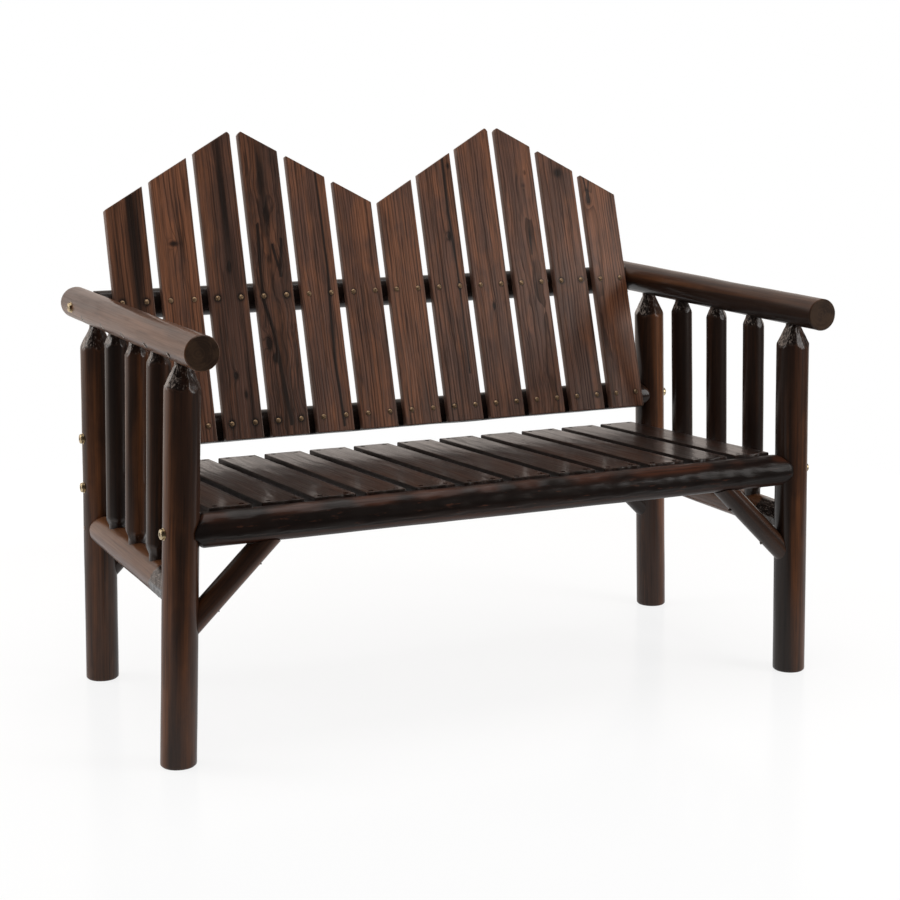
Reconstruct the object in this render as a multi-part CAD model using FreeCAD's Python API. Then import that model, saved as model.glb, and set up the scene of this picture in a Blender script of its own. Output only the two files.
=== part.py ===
import FreeCAD, Part
import math
import os

# Rustic log bench for two, in millimetres. +Z is up, X runs along the seat, and the sitter faces -Y.
# The origin is on the floor, under the middle of the bench. Left is -X and front is -Y.

# Where the logs stand
leg_spacing_x = 1168.0  # between leg axes, at the height of the armrests
leg_spacing_y = 508.0  # between the front and rear leg axes
diagonal_splay = 20.5  # how far the front left and rear right feet stand out sideways
front_right_splay = 9.5  # the same for the front right foot
rear_left_splay = 5.5
arm_length = 740.0
arm_front_overhang = 90.0  # armrest in front of the front leg axis
arm_height = 686.5  # armrest axis above the floor
front_rail_height = 385.0
seat_drop = 22.5  # rear seat rail below the front one
lower_back_rail_rise = 90.5  # lower back rail above the rear seat rail
side_rail_height = 287.0
brace_reach = 172.0  # from the crossing of the leg and rail axes to either end of a brace's axis

# Log thicknesses
leg_diameter = 60.0
arm_diameter = 57.0
front_rail_diameter = 60.0
rear_rail_diameter = 57.0
back_rail_diameter = 57.0
side_rail_diameter = 57.0
spindle_diameter = 40.5
brace_diameter = 39.0
spindle_count = 3  # on each side
foot_chamfer = 2.5
arm_end_chamfer = 2.0

# Whittled ends, tenons and copes
tenon_diameter = 25.0
tenon_past_axis = 5.0  # a tenon runs this far past the middle of the log that holds it
leg_taper_length = 41.5
spindle_top_taper = 19.0
spindle_foot_taper = 15.0
side_rail_taper_length = 61.0
side_rail_shoulder_diameter = 51.0
side_rail_rear_taper_length = 15.0
side_rail_rear_shoulder_diameter = 43.0
tenon_play = 0.15  # on the radius
tenon_end_gap = 2.0
cope_gap = 0.2

# Boards
slat_count = 12
slat_width = 75.5
slat_gap = 16.5
slat_thickness = 16.0
back_lean = 17.0  # degrees from upright
back_top_slope = 30.0  # degrees, of the sawn tops
back_valley_length = 441.0  # from a back slat's foot to the low points of the top line
back_slat_tail = 30.0  # back slat below the lower back rail's axis
back_flat_depth = 0.5  # flat planed on the back rails under the slats
back_slats_off_centre = 2.4  # the row of back slats stands this far to the right
peak_clip = 6.0
seat_bearing_rise = 18.0  # underside of the seat boards above both seat rail axes
seat_front_lip = 6.0  # from the front rail axis to the boards' front ends
seat_rear_inset = 6.0  # from the rear rail axis to the boards' rear ends
board_play = 0.3
board_edge = 1.5  # eased edges of the faces that show

# Bolts with washers and barrel nuts
bolt_diameter = 8.0
bolt_head_diameter = 17.5
bolt_head_height = 5.5
bolt_head_rounding = 2.2  # round the rim of its flat face
bolt_past_nut = 10.0
bolt_hole_play = 0.4  # on the radius
socket_width = 6.0
socket_depth = 3.0
washer_diameter = 20.5
washer_thickness = 1.6
spot_face_margin = 0.3
nut_diameter = 12.0
nut_length = 26.0
nut_from_end_log = 75.0  # from the axis of the bolted log to the nut's axis
nut_play = 0.15

# Screws
screw_diameter = 4.0
screw_play = 0.1
screw_end_gap = 1.0
screw_point_length = 4.0
cross_length = 4.6
cross_width = 1.1
cross_depth = 1.6
slat_screw_spread = 46.0  # between the two screws of a board
back_screw_length = 34.0
back_screw_head_diameter = 9.5
back_screw_head_height = 2.8
upper_back_screw_drop = 5.0  # upper screws below the upper back rail's axis, along the boards
seat_screw_length = 32.0
seat_screw_sink = 1.5  # seat screw heads lie this far below the board's face
seat_front_screw_inset = 14.0  # from a board's front end
seat_rear_screw_inset = 13.0  # from a board's rear end
sunk_head_diameter = 8.0
sunk_head_height = 3.2
arm_screw_length = 34.0
arm_screw_drop = 30.0  # degrees below level, seen along the armrest
side_screw_length = 40.0
brace_screw_length = 55.0
brace_screw_setback = 12.0  # from the log's face to the screw, along the brace's axis

overrun = 5.0  # cutting bodies run this far past what they cut
seam_turn = 37.0  # degrees, keeps the seams of crossing round bodies apart

# Sizes that follow from the ones above
leg_radius = leg_diameter / 2
arm_radius = arm_diameter / 2
front_rail_radius = front_rail_diameter / 2
rear_rail_radius = rear_rail_diameter / 2
back_rail_radius = back_rail_diameter / 2
side_rail_radius = side_rail_diameter / 2
spindle_radius = spindle_diameter / 2
brace_radius = brace_diameter / 2
tenon_radius = tenon_diameter / 2
bolt_radius = bolt_diameter / 2
washer_radius = washer_diameter / 2
nut_radius = nut_diameter / 2
screw_radius = screw_diameter / 2
sunk_head_radius = sunk_head_diameter / 2
slat_pitch = slat_width + slat_gap
front_y = arm_front_overhang - arm_length / 2
rear_y = front_y + leg_spacing_y
row_y = {"front": front_y, "rear": rear_y}
rear_rail_height = front_rail_height - seat_drop
lower_back_rail_height = rear_rail_height + lower_back_rail_rise
lean = math.radians(back_lean)
upper_back_rail_y = rear_y + (arm_height - lower_back_rail_height) * math.tan(lean)
rail_behind_face = slat_thickness + back_rail_radius - back_flat_depth
rail_spacing_along_back = (arm_height - lower_back_rail_height) / math.cos(lean)
seat_slope = math.atan2(front_rail_height - rear_rail_height, leg_spacing_y)
seat_run = leg_spacing_y / math.cos(seat_slope)
side_sign = {"left": -1, "right": 1}


def vec(x, y, z):
    return FreeCAD.Vector(x, y, z)


ALONG_X = vec(1, 0, 0)
ALONG_Y = vec(0, 1, 0)
ALONG_Z = vec(0, 0, 1)


def splay(side, row):
    """Sideways lean of a leg, from the armrest's height down to the foot."""
    if (side, row) in (("left", "front"), ("right", "rear")):
        return diagonal_splay
    return front_right_splay if row == "front" else rear_left_splay


def leg_point(side, row, height):
    """The point of a leg's axis at a height above the floor."""
    out = splay(side, row) * (1 - height / arm_height)
    return vec(side_sign[side] * (leg_spacing_x / 2 + out), row_y[row], height)


def side_rail_point(side, y):
    """The point of a side rail's axis at a depth of the bench."""
    front = leg_point(side, "front", side_rail_height)
    rear = leg_point(side, "rear", side_rail_height)
    return front + (rear - front) * ((y - front_y) / leg_spacing_y)


def rod(start, end, radius):
    """A round bar from one point to another."""
    return Part.makeCylinder(radius, (end - start).Length, start, end - start)


def turned(start, direction, profile):
    """A turned solid: profile holds (distance along the direction, radius) pairs."""
    first, last = profile[0][0], profile[-1][0]
    points = [vec(0, 0, first)] + [vec(r, 0, d) for d, r in profile] + [vec(0, 0, last), vec(0, 0, first)]
    distinct = [a for a, b in zip(points, points[1:]) if (a - b).Length > 0] + [points[0]]
    solid = Part.Face(Part.makePolygon(distinct)).revolve(vec(0, 0, 0), ALONG_Z, 360)
    solid.rotate(vec(0, 0, 0), ALONG_Z, seam_turn)
    return aimed(solid, start, direction)


def block(x0, x1, y0, y1, z0, z1):
    """A box between two values on each axis."""
    return Part.makeBox(x1 - x0, y1 - y0, z1 - z0, vec(x0, y0, z0))


def placed(shape, placement):
    """A copy of a shape, moved out of the working frame that it was drawn in."""
    copy = shape.copy()
    copy.Placement = placement.multiply(copy.Placement)
    return copy


def aimed(shape, start, direction):
    """A copy of a shape drawn along +Z, moved to a start and turned to a direction."""
    return placed(shape, FreeCAD.Placement(start, FreeCAD.Rotation(ALONG_Z, direction)))


# The back boards' working frame: X along the bench, Z up the boards, Y from face to back.
back_face_point = vec(
    back_slats_off_centre,
    rear_y - rail_behind_face * math.cos(lean) - back_slat_tail * math.sin(lean),
    lower_back_rail_height + rail_behind_face * math.sin(lean) - back_slat_tail * math.cos(lean),
)
back_frame = FreeCAD.Placement(back_face_point, FreeCAD.Rotation(ALONG_X, -back_lean))
# The seat boards' working frame: Y from the front rail axis to the back, Z up from their underside.
seat_frame = FreeCAD.Placement(
    vec(0, front_y, front_rail_height + seat_bearing_rise),
    FreeCAD.Rotation(ALONG_X, -math.degrees(seat_slope)),
)


def slat_centre(number):
    """The middle of a board across the bench; boards are numbered from 1 at the left."""
    return (number - (slat_count + 1) / 2) * slat_pitch


def screw_columns():
    """The places across the bench of every board's two screws."""
    return [slat_centre(n) + s * slat_screw_spread / 2 for n in range(1, slat_count + 1) for s in (-1, 1)]


back_rail_rows = {"lower": back_slat_tail, "upper": back_slat_tail + rail_spacing_along_back}
back_screw_rows = {
    "lower": back_rail_rows["lower"],
    "upper": back_rail_rows["upper"] - upper_back_screw_drop,
}
seat_board_end = seat_run - seat_rear_inset
seat_screw_rows = {
    "front": seat_front_lip + seat_front_screw_inset,
    "rear": seat_board_end - seat_rear_screw_inset,
}


def with_cross(screw, head_top):
    """A screw along +Z with the cross recess cut into its head."""
    long, short = cross_length / 2, cross_width / 2
    low, high = head_top - overrun, head_top + cross_depth
    bars = [
        block(-long, long, -short, short, low, high),
        block(-short, short, -long, long, low, high),
    ]
    return screw.cut(bars)


def sunk_screw(length):
    """A screw along +Z with a flat countersunk head, whose face lies at Z = 0."""
    profile = [
        (0, sunk_head_radius),
        (sunk_head_height, screw_radius),
        (length - screw_point_length, screw_radius),
        (length, 0),
    ]
    return with_cross(turned(vec(0, 0, 0), ALONG_Z, profile), 0)


def sunk_screw_hole(start, direction, length, sink=0.0):
    """The hole for a countersunk screw, open past the surface it enters."""
    profile = [
        (-sink - overrun, sunk_head_radius + screw_play),
        (0, sunk_head_radius + screw_play),
        (sunk_head_height, screw_radius + screw_play),
        (length + screw_end_gap, screw_radius + screw_play),
    ]
    return turned(start, direction, profile)


def domed_head(radius, height):
    """A round head on the plane Z = 0, domed towards -Z."""
    ball_radius = (radius**2 + height**2) / (2 * height)
    ball = Part.makeSphere(ball_radius, vec(0, 0, ball_radius - height))
    return ball.common(rod(vec(0, 0, -height), vec(0, 0, 0), radius))


def flat_button(radius, height, rounding):
    """A flat-faced head on the plane Z = 0, pointing towards -Z, with a rounded rim."""
    head = rod(vec(0, 0, 0), vec(0, 0, -height), radius)
    rim = [edge for edge in head.Edges if edge.BoundBox.ZMax < -height / 2]
    return head.makeFillet(rounding, rim)


def domed_screw(length):
    """A back slat's screw along +Z, with its domed head below Z = 0."""
    profile = [(0, screw_radius), (length - screw_point_length, screw_radius), (length, 0)]
    head = domed_head(back_screw_head_diameter / 2, back_screw_head_height)
    screw = head.fuse(turned(vec(0, 0, 0), ALONG_Z, profile)).removeSplitter()
    return with_cross(screw, -back_screw_head_height)


def back_screws(row):
    """The round-head screws of one back rail, a pair to a board."""
    screw = domed_screw(back_screw_length)
    height = back_screw_rows[row]
    return [placed(aimed(screw, vec(x, 0, height), ALONG_Y), back_frame) for x in screw_columns()]


def back_screw_holes(row):
    """The holes of one row of back screws, through the boards and into the rail."""
    radius = screw_radius + screw_play
    height = back_screw_rows[row]
    depth = back_screw_length + screw_end_gap
    holes = [rod(vec(x, -overrun, height), vec(x, depth, height), radius) for x in screw_columns()]
    return [placed(hole, back_frame) for hole in holes]


def seat_screw_tops(row):
    """The middle of each seat screw's head, in the seat's working frame."""
    return [vec(x, seat_screw_rows[row], slat_thickness - seat_screw_sink) for x in screw_columns()]


def seat_screws(row):
    screw = sunk_screw(seat_screw_length)
    return [placed(aimed(screw, top, -ALONG_Z), seat_frame) for top in seat_screw_tops(row)]


def seat_screw_holes(row):
    tops = seat_screw_tops(row)
    holes = [sunk_screw_hole(top, -ALONG_Z, seat_screw_length, seat_screw_sink) for top in tops]
    return [placed(hole, seat_frame) for hole in holes]


def near(cutters, low, high):
    """The cutters whose middle lies between two places across the bench."""
    return [c for c in cutters if low < c.BoundBox.Center.x < high]


# Bolted ends. Each bolt runs level along X through a leg or armrest into the end of a cross log.
bolted_joints = {
    "armrest_bolts": ("arm", arm_height, upper_back_rail_y),
    "lower_back_rail_bolts": ("rear", lower_back_rail_height, rear_y),
    "rear_seat_rail_bolts": ("rear", rear_rail_height, rear_y),
    "front_seat_rail_bolts": ("front", front_rail_height, front_y),
}


def bolted_log(group, side):
    """The axis point and radius of the upright or armrest that a bolt goes through."""
    row, height, y = bolted_joints[group]
    if row == "arm":
        return vec(side_sign[side] * leg_spacing_x / 2, y, height), arm_radius
    return leg_point(side, row, height), leg_radius


def bolt_seat(group, side):
    """The middle of the spot face under a bolt's washer, and the direction into the bench."""
    axis_point, radius = bolted_log(group, side)
    depth = radius - math.sqrt(radius**2 - washer_radius**2) + spot_face_margin
    return axis_point + ALONG_X * side_sign[side] * (radius - depth), ALONG_X * -side_sign[side]


def nut_point(group, side):
    axis_point, radius = bolted_log(group, side)
    return axis_point - ALONG_X * side_sign[side] * nut_from_end_log


def hexagon_bar(width, low, high):
    """A six-sided bar across flats, for a bolt's socket."""
    corner = width / math.sqrt(3)
    turns = [math.radians(60 * k) for k in range(7)]
    outline = Part.makePolygon([vec(corner * math.cos(t), corner * math.sin(t), low) for t in turns])
    return Part.Face(outline).extrude(ALONG_Z * (high - low))


def bolt(group, side):
    """A round-head socket bolt, from its head to a little past its barrel nut."""
    seat, inward = bolt_seat(group, side)
    under_head = seat - inward * washer_thickness
    end = nut_point(group, side) + inward * bolt_past_nut
    shank = rod(vec(0, 0, 0), ALONG_Z * (end - under_head).Length, bolt_radius)
    head = flat_button(bolt_head_diameter / 2, bolt_head_height, bolt_head_rounding)
    whole = head.fuse(shank).removeSplitter()
    socket = hexagon_bar(socket_width, -bolt_head_height - overrun, socket_depth - bolt_head_height)
    return aimed(whole.cut(socket), under_head, inward)


def washer(group, side):
    seat, inward = bolt_seat(group, side)
    outer = seat - inward * washer_thickness
    hole = rod(outer - inward * overrun, seat + inward * overrun, bolt_radius + bolt_hole_play)
    return rod(outer, seat, washer_radius).cut(hole)


def barrel_nut(group, side):
    """A round cross nut that lies front to back inside the rail."""
    middle = nut_point(group, side)
    half = ALONG_Y * nut_length / 2
    across = ALONG_X * (nut_radius + overrun)
    hole = rod(middle - across, middle + across, bolt_radius + nut_play)
    return rod(middle - half, middle + half, nut_radius).cut(hole)


def bolt_holes(group, side):
    """Everything that a bolted joint takes away: spot face, bolt hole and nut pocket."""
    seat, inward = bolt_seat(group, side)
    middle = nut_point(group, side)
    outside = seat - inward * (washer_radius + overrun)
    end = middle + inward * (bolt_past_nut + bolt_hole_play)
    pocket_start = middle - ALONG_Y * (nut_length / 2 + nut_play)
    pocket_end = middle + ALONG_Y * (max(front_rail_radius, back_rail_radius) + overrun)
    return [
        rod(outside, seat, washer_radius + nut_play),
        rod(seat, end, bolt_radius + bolt_hole_play),
        rod(pocket_start, pocket_end, nut_radius + nut_play),
    ]


def joint_cutters(group):
    return [c for side in side_sign for c in bolt_holes(group, side)]


# Whittled logs


def leg_envelope(side, row):
    """A leg's round body with the cope gap added, for trimming what meets it."""
    return rod(leg_point(side, row, 0), leg_point(side, row, arm_height), leg_radius + cope_gap)


def leg_tenon_end(side, row):
    foot = leg_point(side, row, 0)
    up = (leg_point(side, row, arm_height) - foot).normalize()
    return leg_point(side, row, arm_height) + up * tenon_past_axis, up


def mortise(end, direction, length):
    """The hole for a tenon whose tip is at end and which points along direction."""
    start = end - direction * length
    return rod(start, end + direction * tenon_end_gap, tenon_radius + tenon_play)


def leg_blank(side, row):
    """A leg with its whittled top and round tenon, cut level at the floor."""
    foot = leg_point(side, row, 0)
    up = (leg_point(side, row, arm_height) - foot).normalize()
    stretch = 1 / up.z
    neck = (arm_height - arm_radius) * stretch
    tip = arm_height * stretch + tenon_past_axis
    profile = [
        (-overrun, leg_radius - foot_chamfer - overrun),
        (foot_chamfer, leg_radius),
        (neck - leg_taper_length, leg_radius),
        (neck, tenon_radius),
        (tip, tenon_radius),
    ]
    reach = leg_diameter + diagonal_splay
    below = block(foot.x - reach, foot.x + reach, foot.y - reach, foot.y + reach, -2 * overrun, 0)
    return turned(foot, up, profile).cut(below)


def side_rail_tenon(side, row):
    """The tip and direction of a side rail's tenon in a leg."""
    middle = leg_point(side, row, side_rail_height)
    other = leg_point(side, "rear" if row == "front" else "front", side_rail_height)
    outward = (middle - other).normalize()
    return middle + outward * tenon_past_axis, outward


def side_rail_screw(side):
    """Start and direction of the screw that pins a side rail's rear tenon, from the leg's outer side."""
    middle = leg_point(side, "rear", side_rail_height)
    inward = ALONG_X * -side_sign[side]
    return middle - inward * leg_radius, inward


def brace_ends(side, row):
    """The ends of a brace's axis, on the leg's axis and on the seat rail's axis."""
    rail_height = front_rail_height if row == "front" else rear_rail_height
    low = leg_point(side, row, rail_height - brace_reach)
    corner = leg_point(side, row, rail_height)
    return low, vec(corner.x - side_sign[side] * brace_reach, corner.y, rail_height)


def brace_screw_starts(side, row):
    """Start and direction of the two screws through a brace's ends, one level and one upright."""
    low, high = brace_ends(side, row)
    along = (high - low).normalize()
    rail_radius = front_rail_radius if row == "front" else rear_rail_radius
    leg_face = leg_radius / abs(along.x) + brace_screw_setback
    rail_face = rail_radius / along.z + brace_screw_setback
    outward = ALONG_X * side_sign[side]
    low_middle = low + along * leg_face
    high_middle = high - along * rail_face
    to_skin = brace_radius / abs(along.z)
    return [(low_middle - outward * to_skin, outward), (high_middle - ALONG_Z * to_skin, ALONG_Z)]


def brace_screw_cutters(side, row):
    return [sunk_screw_hole(start, way, brace_screw_length) for start, way in brace_screw_starts(side, row)]


def leg(side, row):
    """A finished leg, with its mortise and its bolt and screw holes."""
    tip, outward = side_rail_tenon(side, row)
    cutters = [mortise(tip, outward, leg_diameter)] + brace_screw_cutters(side, row)
    cutters += [arm_screw_cutter(side, row_y[row])]
    for group, (bolt_row, height, y) in bolted_joints.items():
        if bolt_row == row:
            cutters += bolt_holes(group, side)[:2]
    if row == "rear":
        start, way = side_rail_screw(side)
        cutters.append(sunk_screw_hole(start, way, side_screw_length))
    return leg_blank(side, row).cut(cutters)


def spindle_y(number):
    """The depth of a spindle; they are numbered from 1 at the front."""
    return front_y + leg_spacing_y * number / (spindle_count + 1)


def spindle_axis(side, number):
    y = spindle_y(number)
    foot = side_rail_point(side, y)
    head = vec(side_sign[side] * leg_spacing_x / 2, y, arm_height)
    return foot, head


def spindle(side, number):
    """A side spindle with a short whittled taper and a tenon at each end."""
    foot, head = spindle_axis(side, number)
    length = (head - foot).Length
    profile = [
        (-tenon_past_axis, tenon_radius),
        (side_rail_radius, tenon_radius),
        (side_rail_radius + spindle_foot_taper, spindle_radius),
        (length - arm_radius - spindle_top_taper, spindle_radius),
        (length - arm_radius, tenon_radius),
        (length + tenon_past_axis, tenon_radius),
    ]
    return turned(foot, head - foot, profile).cut([arm_screw_cutter(side, spindle_y(number))])


def spindle_mortises(side, number):
    """The holes for a spindle's two tenons, in the side rail and in the armrest."""
    foot, head = spindle_axis(side, number)
    up = (head - foot).normalize()
    low = mortise(foot - up * tenon_past_axis, -up, side_rail_diameter)
    return low, mortise(head + up * tenon_past_axis, up, arm_diameter)


def arm_screw(side, y):
    """Start and direction of a screw from the armrest's outer side into a tenon."""
    drop = math.radians(arm_screw_drop)
    outward = vec(side_sign[side] * math.cos(drop), 0, -math.sin(drop))
    return vec(side_sign[side] * leg_spacing_x / 2, y, arm_height) + outward * arm_radius, -outward


def arm_screw_cutter(side, y):
    start, way = arm_screw(side, y)
    return sunk_screw_hole(start, way, arm_screw_length)


def arm_tenon_rows():
    """The depth of each tenon under an armrest, from the front."""
    return [front_y] + [spindle_y(n) for n in range(1, spindle_count + 1)] + [rear_y]


def armrest(side):
    """A straight log on the legs and spindles, with its blind mortises."""
    x = side_sign[side] * leg_spacing_x / 2
    profile = [
        (0, arm_radius - arm_end_chamfer),
        (arm_end_chamfer, arm_radius),
        (arm_length - arm_end_chamfer, arm_radius),
        (arm_length, arm_radius - arm_end_chamfer),
    ]
    log = turned(vec(x, -arm_length / 2, arm_height), ALONG_Y, profile)
    cutters = [mortise(*leg_tenon_end(side, row), arm_diameter) for row in row_y]
    cutters += [spindle_mortises(side, n)[1] for n in range(1, spindle_count + 1)]
    cutters += [arm_screw_cutter(side, y) for y in arm_tenon_rows()]
    cutters += bolt_holes("armrest_bolts", side)[:2]
    return log.cut(cutters)


def side_rail(side):
    """The log under the spindles: coped at the rear leg, whittled at both ends, tenoned into both legs."""
    rear = leg_point(side, "rear", side_rail_height)
    front = leg_point(side, "front", side_rail_height)
    length = (front - rear).Length
    body_profile = [
        (0, side_rail_rear_shoulder_diameter / 2),
        (leg_radius, side_rail_rear_shoulder_diameter / 2),
        (leg_radius + side_rail_rear_taper_length, side_rail_radius),
        (length - leg_radius - side_rail_taper_length, side_rail_radius),
        (length - leg_radius, side_rail_shoulder_diameter / 2),
        (length - leg_radius / 2, side_rail_shoulder_diameter / 2),
    ]
    body = turned(rear, front - rear, body_profile)
    body = body.cut([leg_envelope(side, "rear"), leg_envelope(side, "front")])
    tips = [side_rail_tenon(side, row)[0] for row in ("rear", "front")]
    log = body.fuse(rod(tips[0], tips[1], tenon_radius)).removeSplitter()
    start, way = side_rail_screw(side)
    cutters = [spindle_mortises(side, n)[0] for n in range(1, spindle_count + 1)]
    return log.cut(cutters + [sunk_screw_hole(start, way, side_screw_length)])


def cross_log(row, height, radius):
    """A round log between two legs of one row, with both ends coped round them."""
    ends = [leg_point(side, row, height) for side in side_sign]
    log = rod(ends[0], ends[1], radius)
    return log.cut([leg_envelope(side, row) for side in side_sign])


def back_flat(height):
    """What is planed off a back rail under the slats, for the rail at this height up the slats."""
    half_length = leg_spacing_x / 2
    low = height - back_rail_diameter
    high = height + back_rail_diameter
    return placed(block(-half_length, half_length, -overrun, slat_thickness, low, high), back_frame)


def front_seat_rail():
    """The front log, rebated behind its crown for the seat boards."""
    log = cross_log("front", front_rail_height, front_rail_radius)
    half_length = leg_spacing_x / 2
    rebate = block(
        -half_length, half_length, seat_front_lip - board_play, front_rail_diameter, 0, front_rail_radius
    )
    cutters = [placed(rebate, seat_frame)] + seat_screw_holes("front")
    cutters += joint_cutters("front_seat_rail_bolts")
    cutters += [c for side in side_sign for c in brace_screw_cutters(side, "front")]
    return log.cut(cutters)


def rear_seat_rail():
    """The rear log, planed flat under the seat boards."""
    log = cross_log("rear", rear_rail_height, rear_rail_radius)
    half_length = leg_spacing_x / 2
    low, high = seat_run - rear_rail_diameter, seat_run + rear_rail_diameter
    flat = block(-half_length, half_length, low, high, 0, rear_rail_radius)
    cutters = [placed(flat, seat_frame)] + seat_screw_holes("rear") + joint_cutters("rear_seat_rail_bolts")
    cutters += [c for side in side_sign for c in brace_screw_cutters(side, "rear")]
    return log.cut(cutters)


def lower_back_rail():
    log = cross_log("rear", lower_back_rail_height, back_rail_radius)
    flat = back_flat(back_rail_rows["lower"])
    return log.cut([flat] + back_screw_holes("lower") + joint_cutters("lower_back_rail_bolts"))


def upper_back_rail():
    """The log between the armrests' rear ends, coped against both."""
    ends = [vec(sign * leg_spacing_x / 2, upper_back_rail_y, arm_height) for sign in side_sign.values()]
    half = ALONG_Y * arm_length / 2
    middles = [vec(end.x, 0, arm_height) for end in ends]
    arms = [rod(middle - half, middle + half, arm_radius + cope_gap) for middle in middles]
    log = rod(ends[0], ends[1], back_rail_radius).cut(arms)
    flat = back_flat(back_rail_rows["upper"])
    return log.cut([flat] + back_screw_holes("upper") + joint_cutters("armrest_bolts"))


def brace(side, row):
    """A round diagonal brace, scribed to the leg and to the underside of the seat rail."""
    low, high = brace_ends(side, row)
    rail_radius = front_rail_radius if row == "front" else rear_rail_radius
    reach = ALONG_X * side_sign[side] * leg_diameter
    rail = rod(high - reach, leg_point(side, row, high.z) + reach, rail_radius + cope_gap)
    cutters = [leg_envelope(side, row), rail] + brace_screw_cutters(side, row)
    return rod(low, high, brace_radius).cut(cutters)


# Boards


def back_top(x):
    """The height of the sawn top line, up the slats from their feet: two peaks and a valley."""
    peak_x = slat_pitch * slat_count / 4
    return back_valley_length + math.tan(math.radians(back_top_slope)) * (peak_x - abs(abs(x) - peak_x))


def eased(board, face_direction):
    """A flat board with the edges of the face that shows taken off."""
    face = max(board.Faces, key=lambda f: f.CenterOfMass.dot(face_direction))
    return board.makeChamfer(board_edge, face.Edges)


def back_slat(number):
    """A back board, its top sawn along the peaked line and the peak's corner taken off."""
    left = slat_centre(number) - slat_width / 2
    right = left + slat_width
    peak_x = slat_pitch * slat_count / 4
    top = []
    for x, inner in ((left, left + peak_clip), (right, right - peak_clip)):
        beside_peak = abs(abs(x) - peak_x) < slat_gap
        corner = [vec(x, 0, back_top(x))]
        if beside_peak:
            corner = [vec(x, 0, back_top(inner) - peak_clip), vec(inner, 0, back_top(inner))]
        top += corner if x == left else corner[::-1]
    outline = [vec(left, 0, 0)] + top + [vec(right, 0, 0), vec(left, 0, 0)]
    board = Part.Face(Part.makePolygon(outline)).extrude(ALONG_Y * slat_thickness)
    holes = [hole for row in back_screw_rows for hole in near(back_screw_holes(row), left, right)]
    return placed(eased(board, -ALONG_Y), back_frame).cut(holes)


def seat_slat(number):
    """A seat board, from the front rail's rebate to the rear rail's flat."""
    left = slat_centre(number) - slat_width / 2
    right = left + slat_width
    board = block(left, right, seat_front_lip, seat_board_end, 0, slat_thickness)
    holes = [hole for row in seat_screw_rows for hole in near(seat_screw_holes(row), left, right)]
    return placed(eased(board, ALONG_Z), seat_frame).cut(holes)


def save(name, shape):
    """Writes one named piece, or one group of like fasteners."""
    solids = shape if isinstance(shape, list) else [shape]
    for solid in solids:
        if not solid.isValid():
            print("not valid:", name)
    whole = Part.makeCompound([s for solid in solids for s in solid.Solids])
    if len(whole.Solids) == 1:
        whole = whole.Solids[0]
    whole.exportStep(f"parts/{name}.step")
    print(name, len(whole.Solids), "solids", round(whole.Volume), "mm3")


os.makedirs("parts", exist_ok=True)
spindle_names = {1: "front", 2: "middle", 3: "rear"}

for side in side_sign:
    for row in row_y:
        save(f"{row}_{side}_leg", leg(side, row))
        save(f"{row}_{side}_brace", brace(side, row))
    save(f"{side}_armrest", armrest(side))
    save(f"{side}_side_rail", side_rail(side))
    for number in range(1, spindle_count + 1):
        save(f"{side}_{spindle_names.get(number, number)}_spindle", spindle(side, number))

save("front_seat_rail", front_seat_rail())
save("rear_seat_rail", rear_seat_rail())
save("lower_back_rail", lower_back_rail())
save("upper_back_rail", upper_back_rail())

for number in range(1, slat_count + 1):
    save(f"back_slat_{number:02d}", back_slat(number))
    save(f"seat_slat_{number:02d}", seat_slat(number))

joints = [(group, side) for group in bolted_joints for side in side_sign]
for group in bolted_joints:
    save(group, [bolt(group, side) for side in side_sign])
save("bolt_washers", [washer(group, side) for group, side in joints])
save("barrel_nuts", [barrel_nut(group, side) for group, side in joints])

for row in back_screw_rows:
    save(f"{row}_back_slat_screws", back_screws(row))
for row in seat_screw_rows:
    save(f"{row}_seat_slat_screws", seat_screws(row))
arm_screws = [arm_screw(side, y) for side in side_sign for y in arm_tenon_rows()]
side_screws = [side_rail_screw(side) for side in side_sign]
brace_starts = [pair for side in side_sign for row in row_y for pair in brace_screw_starts(side, row)]
for name, length, starts in (
    ("armrest_screws", arm_screw_length, arm_screws),
    ("side_rail_screws", side_screw_length, side_screws),
    ("brace_screws", brace_screw_length, brace_starts),
):
    save(name, [aimed(sunk_screw(length), start, way) for start, way in starts])
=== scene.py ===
import bmesh
import bpy
import random
from math import atan2, copysign, cos, exp, hypot, pi, radians, sin, sqrt, tan, tau
from mathutils import Matrix, Vector, noise


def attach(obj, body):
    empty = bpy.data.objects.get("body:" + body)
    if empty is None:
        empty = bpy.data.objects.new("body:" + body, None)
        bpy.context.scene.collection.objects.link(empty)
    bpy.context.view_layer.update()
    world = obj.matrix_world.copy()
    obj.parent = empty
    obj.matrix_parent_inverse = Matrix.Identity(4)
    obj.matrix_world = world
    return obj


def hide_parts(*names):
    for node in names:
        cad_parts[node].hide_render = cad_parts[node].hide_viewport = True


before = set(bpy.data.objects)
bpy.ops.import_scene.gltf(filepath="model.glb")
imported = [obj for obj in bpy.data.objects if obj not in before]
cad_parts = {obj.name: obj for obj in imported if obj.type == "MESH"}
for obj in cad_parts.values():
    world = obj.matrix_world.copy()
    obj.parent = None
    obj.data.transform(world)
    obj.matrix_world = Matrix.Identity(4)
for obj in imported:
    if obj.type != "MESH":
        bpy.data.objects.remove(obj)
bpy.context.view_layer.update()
print("frame loaded:", len(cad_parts), "nodes")

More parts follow.
